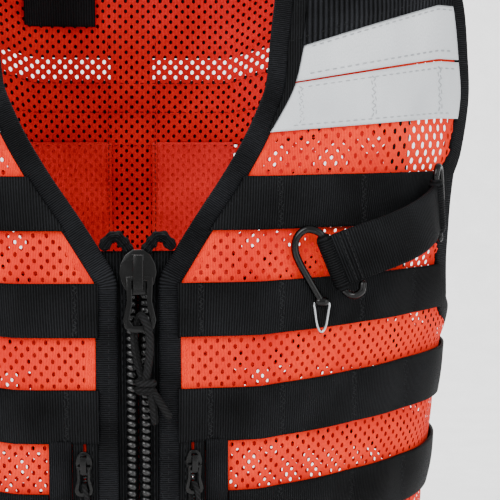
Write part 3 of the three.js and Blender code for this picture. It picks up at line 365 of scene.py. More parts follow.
def puff(x, down, front):
    """Height of the loose knit between two rows of webbing: a squared half sine, uneven along the row, that dies
    out towards the placket and the pocket zips."""
    share = np.where(down < ROW_TOP, (down - TAPE_BOTTOM) / (ROW_TOP - TAPE_BOTTOM),
                     (down - ROW_TOP) % ROW_PITCH / (ROW_PITCH - WEBBING) - WEBBING / (ROW_PITCH - WEBBING))
    uneven = 0.65 + 0.5 * np.sin(x / 14 + down / 31) * np.sin(x / 23 - down / 17 + 2)
    edge = np.where(down > POCKET_TOP, PLACKET_HALF + 26, neck_half(down) + 3) if front else 16.0
    return 1.7 * np.sin(np.pi * np.clip(share, 0, 1)) ** 2 * uneven * np.clip((x - edge) / 14, 0, 1)


# Distance between neighbouring holes of the knit, across and down
CELL_PITCH, CELL_DROP = 5.5, 2.9


def holed(name, side, front, low, material, replaces=(), part=None):
    """A knitted layer as a honeycomb: each cell is a six-sided ring round an upright oval hole, every other line
    shifted by half a cell."""
    pitch, drop = CELL_PITCH, CELL_DROP
    turns = np.linspace(0, 1, 400)
    arc_points = body(side, turns, np.full(400, 300.0 if front else -300.0))
    arc = np.concatenate([[0], np.cumsum(np.linalg.norm(np.diff(arc_points, axis=0), axis=1))])
    lines = int(path_of(HEM) / drop) + 1
    i, j = np.meshgrid(np.arange(int(arc[-1] / pitch) + 1), np.arange(lines), indexing="ij")
    s = ((i + 0.5 * (j % 2)) * pitch).ravel()
    d = ((j + 0.5) * drop).ravel()
    turn = np.interp(s, arc, turns)
    margin = 0.012
    down = down_of(d)
    keep = (turn > inner_turn(down, front) + (margin if front else np.where(down < BACK_NECK_DROP, margin, -1)))
    keep &= (turn < outer_turn(down, front) - margin) & (d < path_of(HEM) - 2) & (d > 3)
    if part:
        top, bottom, inner, outer = part
        x = np.abs(body(side, turn, d if front else -d)[:, 0])
        keep &= (down > top) & (down < bottom) & (x > inner) & (x < outer)
    s, d = s[keep], d[keep]
    # Corners of a cell: six shared outer corners and six of the hole, in shares of the pitch and the drop
    rim = np.array([(0, -0.667), (0.5, -0.333), (0.5, 0.333), (0, 0.667), (-0.5, 0.333), (-0.5, -0.333)])
    hole = np.array([(0, -1.25), (0.78, -0.62), (0.78, 0.62), (0, 1.25), (-0.78, 0.62), (-0.78, -0.62)])
    cell = np.concatenate([rim * (pitch, drop), hole])
    at = np.stack([s, d], -1)[:, None, :] + cell[None]
    at[:, 6:, 0] += 0.12 * np.sin(s * 1.7 + d)[:, None]
    flat = at.reshape(-1, 2)
    t = np.interp(flat[:, 0], arc, turns)
    path = np.maximum(flat[:, 1], 0.3)
    loose = low > 0
    x = np.abs(body(side, t, path if front else -path)[:, 0])
    points = lifted(side, t, path if front else -path, low + loose * puff(x, down_of(path), front))
    k = np.arange(6)
    ring = np.stack([k, (k + 1) % 6, 6 + (k + 1) % 6, 6 + k], -1)
    quads = (np.arange(len(s))[:, None, None] * 12 + ring[None]).reshape(-1, 4)
    if (side > 0) == front:
        quads = quads[:, ::-1]
    uv = flat * MM
    key = np.round(points * 20000).astype(np.int64)
    _, first, back = np.unique(key, axis=0, return_index=True, return_inverse=True)
    return piece(name, points[first], back.reshape(-1)[quads], uv[first], material, replaces)


def catmull(points, per):
    """A smooth curve through the points: Catmull-Rom pieces, each cut into per steps."""
    p = np.asarray(points, float)
    p = np.concatenate([2 * p[:1] - p[1:2], p, 2 * p[-1:] - p[-2:-1]])
    t = np.linspace(0, 1, per, endpoint=False)[None, :, None]
    a, b, c, d = (p[i:len(p) - 3 + i][:, None, :] for i in range(4))
    curve = 0.5 * (2 * b + (c - a) * t + (2 * a - 5 * b + 4 * c - d) * t ** 2 + (3 * b - a - 3 * c + d) * t ** 3)
    return np.concatenate([curve.reshape(-1, 3), p[-2:-1]])


def frames(path, hint=(0.3, -0.9, 0.2)):
    """Unit tangent and two square directions at each point of a path, turned as little as can be."""
    tangent = np.gradient(path, axis=0)
    tangent /= np.linalg.norm(tangent, axis=1, keepdims=True)
    side = np.empty_like(tangent)
    last = np.asarray(hint, float)
    for k, t in enumerate(tangent):
        last = last - t * (last @ t)
        last = last / np.linalg.norm(last)
        side[k] = last
    return tangent, side, np.cross(tangent, side)


def tube(path, radius, sides=12, twist=0.0, lobes=0, depth=0.0):
    """A round section carried along a path and closed at both ends by rounded caps; lobes give it strands that
    wind round it. Returns points, quads and a UV of girth and length in metres."""
    tangent, u, v = frames(path)
    n = len(path)
    length = np.concatenate([[0], np.cumsum(np.linalg.norm(np.diff(path, axis=0), axis=1))])
    angle = np.linspace(0, 2 * np.pi, sides, endpoint=False)
    size = np.full(n, radius) if np.isscalar(radius) else np.asarray(radius)
    wave = 1 + depth * np.cos(lobes * (angle[None, :] + twist * length[:, None])) if lobes else 1.0
    ring = (size[:, None] * wave)[..., None] * (np.cos(angle)[None, :, None] * u[:, None] + np.sin(angle)[None, :, None]
                                               * v[:, None])

    def cap(k, way):
        """Three shrinking rings that make a rounded end: how far each stands out and its share of the radius."""
        steps = ((0.55, 0.8), (0.85, 0.45), (0.95, 0.02))
        return [path[k] + way * tangent[k] * size[k] * far + ring[k] * share for far, share in steps]

    rings = np.stack(cap(0, -1)[::-1] + list(path[:, None] + ring) + cap(n - 1, 1))
    rows = len(rings)
    quads = grid_quads(rows, sides, closed=True)
    girth = angle / (2 * np.pi) * 2 * np.pi * radius if np.isscalar(radius) else angle * size.mean()
    lengths = np.concatenate([[-3e-3, -2e-3, -1e-3], length, length[-1] + np.array([1e-3, 2e-3, 3e-3])])
    uv = np.stack(np.broadcast_arrays(girth[None, :], lengths[:, None]), -1)
    return rings.reshape(-1, 3), quads, uv.reshape(-1, 2)


def merge(parts):
    """Several (points, quads, uv) sets as one."""
    points, quads, uvs, start = [], [], [], 0
    for p, q, t in parts:
        points.append(p.reshape(-1, 3))
        quads.append(q + start)
        uvs.append(t.reshape(-1, 2))
        start += len(points[-1])
    return np.concatenate(points), np.concatenate(quads), np.concatenate(uvs)


# Cords: one strand from inside the knot, up through the tab, back down and out below the knot, as the CAD
# model's chosen points; the other tail and the knot are pieces of their own
def cord(name, loop, tail_a, tail_b, knot, diameter, knot_size, node):
    middle = np.array(knot)
    path = catmull([middle + (-0.0006, 0.0004, 0.0008)] + list(loop[1:-1]) + [middle] + list(tail_b), 6)
    thing = piece(name, *tube(path, diameter / 2, 14, twist=900.0, lobes=7, depth=0.04), BRAID, (node,))
    tail = catmull([middle] + list(tail_a), 6)
    low = piece(name + "_tail", *tube(tail, diameter / 2, 14, twist=900.0, lobes=7, depth=0.04), BRAID)
    # The knot: the cord wound once and three quarters round itself, over a strand that fills its middle
    t = np.linspace(0, 3.5 * np.pi, 48)
    wind = middle + np.stack([knot_size * 0.6 * np.cos(t), -knot_size * 0.38 * np.sin(t),
                              knot_size * 0.55 * (t / (1.75 * np.pi) - 1) + knot_size * 0.12 * np.cos(t)], -1)
    core = middle + np.array([[0.0, 0.0, 0.5], [0.1, 0.0, 0.0], [0.0, 0.0, -0.5]]) * knot_size
    bow = merge([tube(wind, diameter * 0.5, 14, twist=900.0, lobes=7, depth=0.04),
                 tube(catmull(core, 5), diameter * 0.62, 14)])
    knotted = piece(name + "_knot", *bow, BRAID)


cord("zip_pull_cord",
     [(0.00220, -0.11665, -0.24356), (-0.00070, -0.11532, -0.23314), (-0.00200, -0.11374, -0.22224),
      (0.0, -0.11315, -0.21566), (0.00121, -0.11602, -0.21300), (0.00281, -0.11948, -0.21469),
      (0.00481, -0.12067, -0.22011), (0.00501, -0.11971, -0.23074), (0.00401, -0.11804, -0.24344)],
     [(0.00521, -0.11813, -0.24895), (0.00661, -0.11866, -0.25493), (0.00721, -0.11909, -0.26192)],
     [(0.00621, -0.11824, -0.24794), (0.00981, -0.11874, -0.25351), (0.01361, -0.11907, -0.25951)],
     (0.00321, -0.11762, -0.24548), 0.0037, 0.0056, "zip_cord")
cord("pocket_left_pull_cord",
     [(0.02577, -0.11547, -0.30989), (0.02434, -0.11507, -0.30287), (0.02407, -0.11450, -0.29787),
      (0.02492, -0.11444, -0.29388), (0.02561, -0.11660, -0.29179), (0.02643, -0.11885, -0.29390),
      (0.02719, -0.11899, -0.29791), (0.02734, -0.11787, -0.30291), (0.02673, -0.11630, -0.30990)],
     [(0.02674, -0.11580, -0.31391), (0.02567, -0.11587, -0.31889), (0.02460, -0.11594, -0.32388)],
     [(0.02754, -0.11574, -0.31352), (0.02947, -0.11560, -0.31794), (0.03080, -0.11551, -0.32256)],
     (0.02617, -0.11584, -0.31150), 0.0024, 0.0038, "pocket_left_cord")
cord("pocket_right_pull_cord",
     [(-0.02457, -0.11555, -0.30987), (-0.02613, -0.11495, -0.30290), (-0.02646, -0.11433, -0.29790),
      (-0.02572, -0.11438, -0.29389), (-0.02541, -0.11661, -0.29178), (-0.02484, -0.11896, -0.29388),
      (-0.02400, -0.11921, -0.29786), (-0.02355, -0.11814, -0.30286), (-0.02374, -0.11651, -0.30986)],
     [(-0.02355, -0.11602, -0.31386), (-0.02447, -0.11595, -0.31887), (-0.02540, -0.11588, -0.32389)],
     [(-0.02275, -0.11608, -0.31345), (-0.02070, -0.11622, -0.31782), (-0.01923, -0.11631, -0.32240)],
     (-0.02418, -0.11598, -0.31147), 0.0024, 0.0038, "pocket_right_cord")


# Mesh fronts and back: knitted nets whose holes show what lies behind them
for side, hand in SIDES:
    holed(f"front_net_{hand}", side, True, 0.9, KNIT, (f"front_mesh_{hand}",))
    # The back nets take the knit with painted shade, a deeper red
    holed(f"back_net_{hand}", side, False, 0.9, KNIT_PAINTED_SHADE, ("back_mesh",))


NECK_SEAM = 6.5


def edge_strip(name, side, front, width, material):
    """Narrow closed seams of cloth along the armhole, the neck edge and the placket, over which the holes end."""

    def beside_neck(d):
        x = np.abs(body(side, inner_turn(d, front), path_of(d) * (1 if front else -1))[..., 0])
        return turn_of_x(x + NECK_SEAM, d)

    cloth(name + "_neck", side, front, 1.0, HEM if front else BACK_NECK_DROP, lambda d: inner_turn(d, front),
          beside_neck, 0.25, 0.8, material, step=3.0)
    cloth(name + "_side", side, front, 1.0, HEM,
          lambda d: outer_turn(d, front) - width / 270, lambda d: outer_turn(d, front), 0.25, 0.8, material, step=3.0)


for side, hand in SIDES:
    edge_strip(f"front_seam_{hand}", side, True, 8.0, KNIT)
    # The back seams take the knit with painted shade, a deeper red
    edge_strip(f"back_seam_{hand}", side, False, 8.0, KNIT_PAINTED_SHADE)


# Webbing rows, slack between the bartacks that hold them down
TACKS = {1: (30, 67, 108, 145), 2: (29, 67, 107, 135), 3: (33, 67, 103, 131), 4: (34, 66, 102, 130)}


def tacks_of(k):
    return TACKS.get(k, (36, 70, 104, 136))


def slack_between(tacks, rise):
    """Height of webbing over the cloth: a half sine between neighbouring bartacks, nothing at them."""
    marks = np.array((0.0,) + tuple(tacks) + (tacks[-1] + 34.0, tacks[-1] + 68.0))

    def bulge(x, share):
        k = np.clip(np.searchsorted(marks, x, side="right") - 1, 0, len(marks) - 2)
        u = (x - marks[k]) / (marks[k + 1] - marks[k])
        return rise * np.sin(np.pi * np.clip(u, 0, 1)) * (0.55 + 0.45 * np.sin(np.pi * share)) + 0 * share

    return bulge


def seam(lines, side, front, offset, length=2.3, gap=1.3, width=0.42, height=0.28):
    """Stitches along lines of (x, depth) points: each is a small flat-topped lozenge of thread."""
    parts = []
    for line in lines:
        line = np.asarray(line, float)
        run = np.concatenate([[0], np.cumsum(np.linalg.norm(np.diff(line, axis=0), axis=1))])
        at = np.arange(gap, run[-1] - length, length + gap)
        if not len(at):
            continue
        mid = np.stack([np.interp(at + length / 2, run, line[:, i]) for i in (0, 1)], -1)
        way = np.stack([np.interp(at + length, run, line[:, i]) - np.interp(at, run, line[:, i]) for i in (0, 1)], -1)
        way /= np.linalg.norm(way, axis=1, keepdims=True)
        square = np.stack([-way[:, 1], way[:, 0]], -1)
        shape = np.array([(-0.5, 0, 0), (-0.3, 0.5, 0), (0.3, 0.5, 0), (0.5, 0, 0), (0.3, -0.5, 0), (-0.3, -0.5, 0),
                          (-0.25, 0, 1), (0.25, 0, 1)])
        flat = mid[:, None] + way[:, None] * shape[None, :, :1] * length + square[:, None] * shape[None, :, 1:2] * width
        x, d = flat[..., 0], flat[..., 1]
        sides = np.where(x < 0, -1, 1) if side == 0 else np.full(x.shape, side)
        out = offset + height * shape[None, :, 2]
        p = np.empty(x.shape + (3,))
        for s in (1, -1):
            q = lifted(s, turn_of_x(np.abs(x), d), path_of(d) if front else -path_of(d), out + 0 * x)
            p = np.where((sides == s)[..., None], q, p)
        tri = np.array([(0, 1, 6), (1, 2, 7), (1, 7, 6), (2, 3, 7), (3, 4, 7), (4, 5, 7), (5, 6, 7), (5, 0, 6)])
        faces = (np.arange(len(mid))[:, None, None] * 8 + tri[None]).reshape(-1, 3)
        parts.append((p.reshape(-1, 3), faces, np.zeros((p.size // 3, 2))))
    return merge(parts)


def sew(name, lines, side, front, offset, material, **sizes):
    return piece(name, *seam(lines, side, front, offset, **sizes), material)


def zigzag(x, top, bottom, width=2.4, pitch=1.0):
    """A bartack as a line that runs from side to side while it goes down."""
    n = int((bottom - top) / pitch)
    k = np.arange(n + 1)
    return np.stack([x + np.where(k % 2, 0.5, -0.5) * width, top + (bottom - top) * k / n], -1)


row_tops = [ROW_TOP + ROW_PITCH * k for k in range(7)]
for side, hand in SIDES:
    tacks = []
    for k, top in enumerate(row_tops, 1):
        beside = POCKET_TOP + 10 < top < POCKET_TOP + POCKET_LENGTH
        start = (lambda d: turn_of_x(PLACKET_HALF + 23.2, d)) if beside else (lambda d: inner_turn(d, True))
        cloth(f"webbing_{k}_{hand}", side, True, top, top + WEBBING, start, lambda d: outer_turn(d, True) - 0.001,
              OUTER, OUTER + 1.5, WEB, (f"row_{k}_{hand}",), step=1.6, bulge=slack_between(tacks_of(k), 1.7))
        tacks += [zigzag(side * x, top + 0.8, top + WEBBING - 0.8) for x in tacks_of(k)
                  if x > float(neck_half(np.array(top))) + 6 + 20 * beside]
    sew(f"bartacks_front_{hand}", tacks, side, True, OUTER + 1.45, THREAD, length=2.3, gap=0.05, width=0.7, height=0.45)
tacks = []
for k, top in enumerate(row_tops, 1):
    for side, hand in SIDES:
        cloth(f"back_webbing_{k}_{hand}", side, False, top, top + WEBBING, lambda d: 0 * d,
              lambda d: outer_turn(d, False) - 0.001, OUTER, OUTER + 1.5, WEB, (f"back_row_{k}",), step=2.2,
              bulge=slack_between((38, 76, 112, 140), 1.3))
for side, hand in SIDES:
    tacks = [zigzag(side * x, top + 0.8, top + WEBBING - 0.8) for top in row_tops for x in (38, 76, 112, 140)]
    sew(f"bartacks_back_{hand}", tacks, side, False, OUTER + 1.45, THREAD, length=2.3, gap=0.05, width=0.7, height=0.45)

# Reflective tapes, sewn along both edges, the lower one tacked; the bands beside the neck
TAPE_TACKS = (78, 113, 150)
for side, hand in SIDES:
    band = (lambda d: turn_of_x(neck_half(d) + 1 + 6.5 * np.clip((TAPE_BOTTOM - d) / 35, 0, 1), d))
    arm = (lambda d: outer_turn(d, True) - 0.001)
    cloth(f"reflective_upper_{hand}", side, True, TAPE_TOP, TAPE_SPLIT - 0.4, band, arm, OUTER, OUTER + 0.9, REFLEX,
          (f"tape_upper_{hand}",), step=1.5, ease=0.3, seed=side)
    cloth(f"reflective_lower_{hand}", side, True, TAPE_SPLIT + 0.4, TAPE_BOTTOM, band, arm, OUTER, OUTER + 0.9, REFLEX,
          (f"tape_lower_{hand}",), step=1.5, ease=0.35, seed=side + 1)
    lines = [[(side * x, d) for x in np.arange(float(neck_half(d)) + 10, 160, 2.0)]
             for d in (TAPE_TOP + 2, TAPE_SPLIT - 2.6, TAPE_SPLIT + 2.6, TAPE_BOTTOM - 2)]
    sew(f"tape_stitches_{hand}", lines, side, True, OUTER + 1.25, THREAD_GREY)
    tape_tacks = [zigzag(side * x, TAPE_SPLIT + 2, TAPE_BOTTOM - 2, 2.0, 1.3) for x in TAPE_TACKS]
    sew(f"tape_tacks_{hand}", tape_tacks, side, True, OUTER + 1.3, THREAD_GREY, length=1.9, gap=0.05, width=0.5)
    cloth(f"neck_webbing_{hand}", side, True, 0.4, TAPE_BOTTOM, lambda d: inner_turn(d, True), band, OUTER, OUTER + 1.6,
          WEB, (f"neck_band_{hand}",), step=1.5)

# Shoulder yoke: spacer knit, front, top and back of each shoulder
for side, hand in SIDES:
    cloth(f"yoke_front_{hand}", side, True, 0.0, TAPE_TOP + 0.6,
          lambda d: turn_of_x(neck_half(d) + 7.0, d), lambda d: outer_turn(d, True), OUTER, OUTER + 2.0, SPACER,
          ("shoulder_yoke",), step=1.8, ease=0.5, seed=4 * side)
    cloth(f"yoke_back_{hand}", side, False, 0.0, YOKE_BOTTOM, lambda d: inner_turn(d, False),
          lambda d: outer_turn(d, False), OUTER, OUTER + 2.0, SPACER, (), step=2.5, ease=0.5, seed=5 * side)
    sew(f"yoke_stitches_{hand}", [[(side * x, TAPE_TOP - 3) for x in np.arange(72, 160, 2.0)]], side, True,
        OUTER + 2.4, THREAD)
    cloth(f"back_wide_band_{hand}", side, False, BAND_TOP, BAND_BOTTOM, lambda d: 0 * d,
          lambda d: outer_turn(d, False) - 0.001, OUTER, OUTER + 1.5, WEB, ("back_band",), step=2.5, ease=0.3)
    cloth(f"back_centre_{hand}", side, False, YOKE_BOTTOM - 1.5, row_tops[-1] + WEBBING, lambda d: 0 * d,
          lambda d: turn_of_x(12.5, d), OUTER + 2.0, OUTER + 3.5, WEB, ("back_centre_band",), step=2.5,
          bulge=lambda x, share: 1.5 + 0 * x)
    sew(f"back_centre_stitches_{hand}", [[(side * 10.4, d) for d in np.arange(100, 468, 4.0)]], side, False,
        OUTER + 4.9, THREAD)
    # Doubled red cloth inside the back
    cloth(f"inside_backing_{hand}", side, False, BAND_BOTTOM - 2.0, 297.0, lambda d: turn_of_x(12.0, d),
          lambda d: turn_of_x(61.0, d), -0.4, 0.1, KNIT_INNER, step=3.0)
    holed(f"inside_panel_{hand}", side, False, -1.0, KNIT_INNER, (f"inner_panel_{hand}",),
          part=(136.0, 296.0, 15.0, 60.0))
    sew(f"inside_stitches_{hand}", [[(side * x, d) for x in np.arange(0, 120, 3.0)] for d in (99, 116, 136)], side,
        False, -0.4, THREAD, height=-0.35)
    sew(f"inside_strip_{hand}", [[(side * 14, d) for d in np.arange(70, 290, 3.0)]], side, False, -1.6, THREAD,
        height=-0.35)

cloth("label_cloth", -1, False, 39.0, 66.5, lambda d: turn_of_x(21.0, d), lambda d: turn_of_x(62.0, d), -2.2, -1.3, WEB,
      ("neck_label",), step=1.5)


# Bindings: a folded grosgrain tape carried along each edge
def bind(name, edges, closed, outward, node):
    """A flattened round section of the binding's width carried along points of the cloth's edge; the section lies
    outward of the edge in the plane of the cloth and swells a little along its length."""
    point = np.concatenate([body(s, t, p) for s, t, p in edges])
    normal = np.concatenate([normals(s, t, p) for s, t, p in edges])
    run = (np.roll(point, -1, axis=0) - np.roll(point, 1, axis=0)) if closed else np.gradient(point, axis=0)
    run /= np.linalg.norm(run, axis=1, keepdims=True)
    out = np.cross(normal, run) * outward
    out /= np.linalg.norm(out, axis=1, keepdims=True)
    length = np.concatenate([[0], np.cumsum(np.linalg.norm(np.diff(point, axis=0), axis=1))])
    angle = np.linspace(0, 2 * np.pi, 20, endpoint=False)
    wide = np.sign(np.cos(angle)) * np.abs(np.cos(angle)) ** 0.45
    tall = np.sign(np.sin(angle)) * np.abs(np.sin(angle)) ** 0.7
    swell = 1 + 0.05 * np.sin(length / 11) + 0.03 * np.sin(length / 4.3)
    w = 0.3 + BINDING_WIDTH / 2 - 0.9 + (BINDING_WIDTH / 2 + 0.9) * wide
    h = 0.6 + 2.0 * tall[None, :] * swell[:, None]
    rings = (point[:, None] + out[:, None] * w[None, :, None] + normal[:, None] * h[..., None]) * MM
    quads = grid_quads(len(rings), 20, closed=True)
    if closed:
        last = (len(rings) - 1) * 20
        k = np.arange(20)
        quads = np.concatenate([quads, np.stack([last + k, last + (k + 1) % 20, (k + 1) % 20, k], -1)])
    if outward > 0:
        quads = quads[:, ::-1]
    uv = np.stack(np.broadcast_arrays(length[:, None] * MM, (angle * 3.2 * MM)[None, :]), -1)
    piece(name, rings, quads, uv, GROSGRAIN, (node,))


def edge_of(side, front, top, bottom, turn_at, step=2.5):
    """Points down an edge of a front or back: sides, turns and paths."""
    p = np.arange(float(path_of(top)), float(path_of(bottom)) + step * 0.6, step)
    return side, turn_at(down_of(p)), p if front else -p


def neck_line(side):
    s, t, p = edge_of(side, True, 0.3, LENGTH, lambda d: inner_turn(d, True))
    order = slice(None, None, -1)
    depth = BACK_NECK_DROP * np.sin(np.linspace(0.05, 1, 22) * np.pi / 2)
    return [(s, t[order], p[order]), (side, inner_turn(depth, False), -path_of(depth))]


left = neck_line(-1)
right = [(s, t[::-1], p[::-1]) for s, t, p in neck_line(1)][::-1]
bind("neck_grosgrain", left + right, False, -1, "neck_binding")
for side, hand in SIDES:
    turn_f, turn_b = (lambda d: outer_turn(d, True)), (lambda d: outer_turn(d, False))
    s, t, p = edge_of(side, True, 0.2, ARMHOLE_DEPTH - 0.6, turn_f)
    s2, t2, p2 = edge_of(side, False, 0.2, ARMHOLE_DEPTH - 0.6, turn_b)
    bind(f"armhole_grosgrain_{hand}", [(s, t, p), (s2, t2[::-1], p2[::-1])], True, side, f"armhole_binding_{hand}")
hem_turns = np.linspace(float(inner_turn(np.array(HEM), True)), 0.999, 60)
full_turns = np.linspace(0, 0.999, 60)
low = float(path_of(HEM))
bind("hem_grosgrain", [(1, hem_turns, np.full(60, low)), (1, full_turns[::-1], np.full(60, -low)),
                       (-1, full_turns[1:], np.full(59, -low)), (-1, hem_turns[::-1], np.full(60, low))], False, -1,
     "hem_binding")


# Zips. A coil is a row of loops of stiff thread, each a short rod over the tape that bulges where it meets its mate
def coil(name, side, x0, x1, top, bottom, pitch, radius, offset, lean, node=()):
    """Loops of a zip coil: a round section carried across the tape from x0 to x1 at each step of the pitch, thick at
    its middle and closed at both ends, its height an arch over its length."""
    n, m, k = int((bottom - top) / pitch), 9, 8
    a = np.linspace(0, 1, m)[None, :, None]
    angle = np.linspace(0, 2 * np.pi, k, endpoint=False)[None, None, :]
    d = (top + pitch * (np.arange(n) + 0.5))[:, None, None]
    swell = np.clip(np.sin(np.pi * np.clip(a * 0.96 + 0.02, 0, 1)), 0.02, 1) ** 0.35
    thick = radius * swell * (1 + 0.22 * np.cos(3 * a))
    x = x0 + (x1 - x0) * a + 0 * d + 0 * angle
    out = offset + radius * 0.9 * np.sin(np.pi * a) ** 0.5 * 0.5 + thick * np.sin(angle) + 0 * d
    down = d + lean * (a - 0.5) + thick * np.cos(angle) * 1.1
    points = lifted(side, turn_of_x(np.abs(x), down), path_of(down), out)
    quads = np.concatenate([grid_quads(m, k, i * m * k, closed=True) for i in range(n)])
    order = slice(None) if side > 0 else slice(None, None, -1)
    return piece(name, points, quads[:, ::-1][:, order], np.stack([x, down], -1) * MM, COIL, node)


for side, hand in SIDES:
    cloth(f"zip_tape_cloth_{hand}", side, True, ROW_TOP + 34, LENGTH, lambda d: turn_of_x(0.02, d),
          lambda d: turn_of_x(17.6, d), -2.7, -1.7, WEB, (f"zip_tape_{hand}",), step=1.5)
    coil(f"zip_coil_{hand}", side, 0.9, 6.0, 200.0, LENGTH - 3, 3.3, 1.5, 0.0, 0.9 * side,
         ("zip_teeth",) if side > 0 else ())
    sew(f"zip_stitches_{hand}", [[(side * 7.4, d) for d in np.arange(203, 497, 4.0)]], side, True, -1.7, THREAD,
        length=2.6, gap=1.2, width=0.55)
    # The folded end of the tape, from the zip's side inward: across, down and out of the cloth
    across, down, out = np.array([(15.4, 181.5, 0.5), (12.5, 178.2, 1.4), (9.5, 177.6, 1.7), (7.0, 179.6, 1.5),
                                  (4.4, 183.0, 0.6)]).T
    curl = lifted(side, turn_of_x(across, down), path_of(down), out)
    lumps = 0.0026 + 0.0003 * np.sin(np.linspace(0, 26, 49))
    piece(f"zip_end_curl_{hand}", *tube(catmull(curl, 12), lumps, 20, 240.0, 5, 0.1), GROSGRAIN,
          (f"zip_end_{hand}",))
    # The cord that the coils are sewn over lies between them
sew("zip_middle", [[(0.0, d) for d in np.arange(204, 497, 4.0)]], 1, True, -0.2, THREAD, length=2.5, gap=0.9, width=1.0,
    height=0.9)

for side, hand in SIDES:
    def at(width):
        return lambda d: turn_of_x(PLACKET_HALF + width, d)

    bottom = POCKET_TOP - 1.0 + POCKET_LENGTH
    cloth(f"pocket_tape_inner_{hand}", side, True, POCKET_TOP - 2, bottom, at(0.4), at(5.9), OUTER, OUTER + 1.3, WEB,
          (f"pocket_zip_{hand}",), step=1.2)
    cloth(f"pocket_tape_outer_{hand}", side, True, POCKET_TOP - 2, bottom, at(7.3), at(12.2), OUTER, OUTER + 1.3, WEB,
          step=1.2)
    coil(f"pocket_coil_{hand}", side, PLACKET_HALF + 5.7, PLACKET_HALF + 7.6, POCKET_TOP + 15, bottom, 1.7, 0.55,
         OUTER + 0.7, 0.4)
    cloth(f"pocket_placket_{hand}", side, True, POCKET_TOP - 1, bottom, at(12.5), at(22.9), OUTER, OUTER + 1.9,
          GROSGRAIN, step=1.2,
          bulge=lambda x, share: 0.6 * np.sin(np.pi * np.clip((x - PLACKET_HALF - 12.5) / 10.4, 0, 1)))
    sew(f"pocket_stitches_{hand}", [[(side * (PLACKET_HALF + w), d) for d in np.arange(POCKET_TOP, bottom - 2, 4.0)]
                                    for w in (3.0, 10.0)], side, True, OUTER + 1.3, THREAD)
    sew(f"placket_stitches_{hand}", [[(side * 13.6, d) for d in np.arange(206, 497, 4.0)]], side, True, 2.55, THREAD)


def softened(name, node, width):
    """The CAD node's mesh again, its loose triangles merged and its edges rounded, under the same paint."""
    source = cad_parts[node]
    work = bmesh.new()
    work.from_mesh(source.data)
    work.transform(source.matrix_world)
    bmesh.ops.remove_doubles(work, verts=work.verts, dist=1e-6)
    bmesh.ops.dissolve_limit(work, angle_limit=math.radians(3), verts=work.verts, edges=work.edges)
    mesh = bpy.data.meshes.new(name)
    work.to_mesh(mesh)
    work.free()
    mesh.materials.clear()
    mesh.materials.append(PAINT)
    thing = bpy.data.objects.new(name, mesh)
    bpy.context.scene.collection.objects.link(thing)
    bevel = thing.modifiers.new("rounding", "BEVEL")
    bevel.width, bevel.segments, bevel.limit_method, bevel.angle_limit = width, 3, "ANGLE", math.radians(28)
    for face in mesh.polygons:
        face.use_smooth = True
    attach(thing, VEST)
    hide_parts(node)
    return thing


for node in ("zip_slider", "zip_tab"):
    softened(node + "_cast", node, 0.00045)
for node in ("pocket_left_slider", "pocket_left_tab", "pocket_right_slider", "pocket_right_tab"):
    softened(node + "_cast", node, 0.00025)

# Side strap: stations of centre, direction down its width and direction out of its face
STRAP = np.array([
    ((0.09214, -0.10441, -0.19042), (0.3794, 0.0138, -0.9251), (-0.0884, -0.9948, -0.0510)),
    ((0.09890, -0.10531, -0.18760), (0.3795, 0.0106, -0.9251), (-0.0906, -0.9947, -0.0486)),
    ((0.10721, -0.10548, -0.18458), (0.3094, -0.0061, -0.9509), (0.0430, -0.9989, 0.0204)),
    ((0.11694, -0.10416, -0.18141), (0.3138, -0.0094, -0.9494), (0.1897, -0.9792, 0.0724)),
    ((0.12627, -0.10114, -0.17822), (0.3373, 0.0366, -0.9407), (0.3928, -0.9136, 0.1053)),
    ((0.13450, -0.09590, -0.17488), (0.3215, 0.1266, -0.9384), (0.5927, -0.7998, 0.0951)),
    ((0.14132, -0.08914, -0.17115), (0.2910, 0.2607, -0.9205), (0.7672, -0.6384, 0.0617)),
    ((0.14580, -0.08226, -0.16786), (0.1780, 0.2928, -0.9395), (0.8916, -0.4520, 0.0280)),
    ((0.14857, -0.07587, -0.16543), (0.1400, 0.3047, -0.9421), (0.9087, -0.4174, -0.0000))])


def strap():
    """A flat woven section with rounded edges carried along the strap's stations, and a round tunnel at each end."""
    centre, low, out = (catmull(STRAP[:, i], 8) for i in range(3))
    length = np.concatenate([[0], np.cumsum(np.linalg.norm(np.diff(centre, axis=0), axis=1))])
    angle = np.linspace(0, 2 * np.pi, 40, endpoint=False)
    wide = np.sign(np.cos(angle)) * np.abs(np.cos(angle)) ** 0.18 * 0.0125
    tall = np.sign(np.sin(angle)) * np.abs(np.sin(angle)) ** 0.5 * 0.0015
    rings = centre[:, None] + low[:, None] * wide[None, :, None] + out[:, None] * tall[None, :, None]
    first, last = rings[:1].mean(1, keepdims=True) + 0 * rings[:1], rings[-1:].mean(1, keepdims=True) + 0 * rings[-1:]
    rings = np.concatenate([first, rings, last])
    uv = np.stack(np.broadcast_arrays(np.concatenate([[0], length, length[-1:]])[:, None], (wide + tall)[None, :]), -1)
    parts = [(rings, grid_quads(len(rings), 40, closed=True), uv)]
    for k in (0, -1):
        axis = STRAP[k, 1] / np.linalg.norm(STRAP[k, 1])
        ends = STRAP[k, 0] + axis * np.linspace(-0.0112, 0.0112, 12)[:, None]
        p, q, t = tube(ends, 0.0038, 24)
        parts.append((p, q, t[:, ::-1]))
    piece("side_strap_webbing", *merge(parts), WEB, ("side_strap",))
    stitches = []
    for at in (0.0072, 0.0096, 0.0705, 0.0728):
        k = int(np.searchsorted(length, at))
        for s in np.linspace(-0.0108, 0.0108, 9):
            middle = centre[k] + low[k] * s + out[k] * 0.0016
            stitches.append(tube(middle + low[k] * np.linspace(-0.0009, 0.0009, 3)[:, None], 0.0003, 6))
    piece("side_strap_stitches", *merge(stitches), THREAD)


strap()

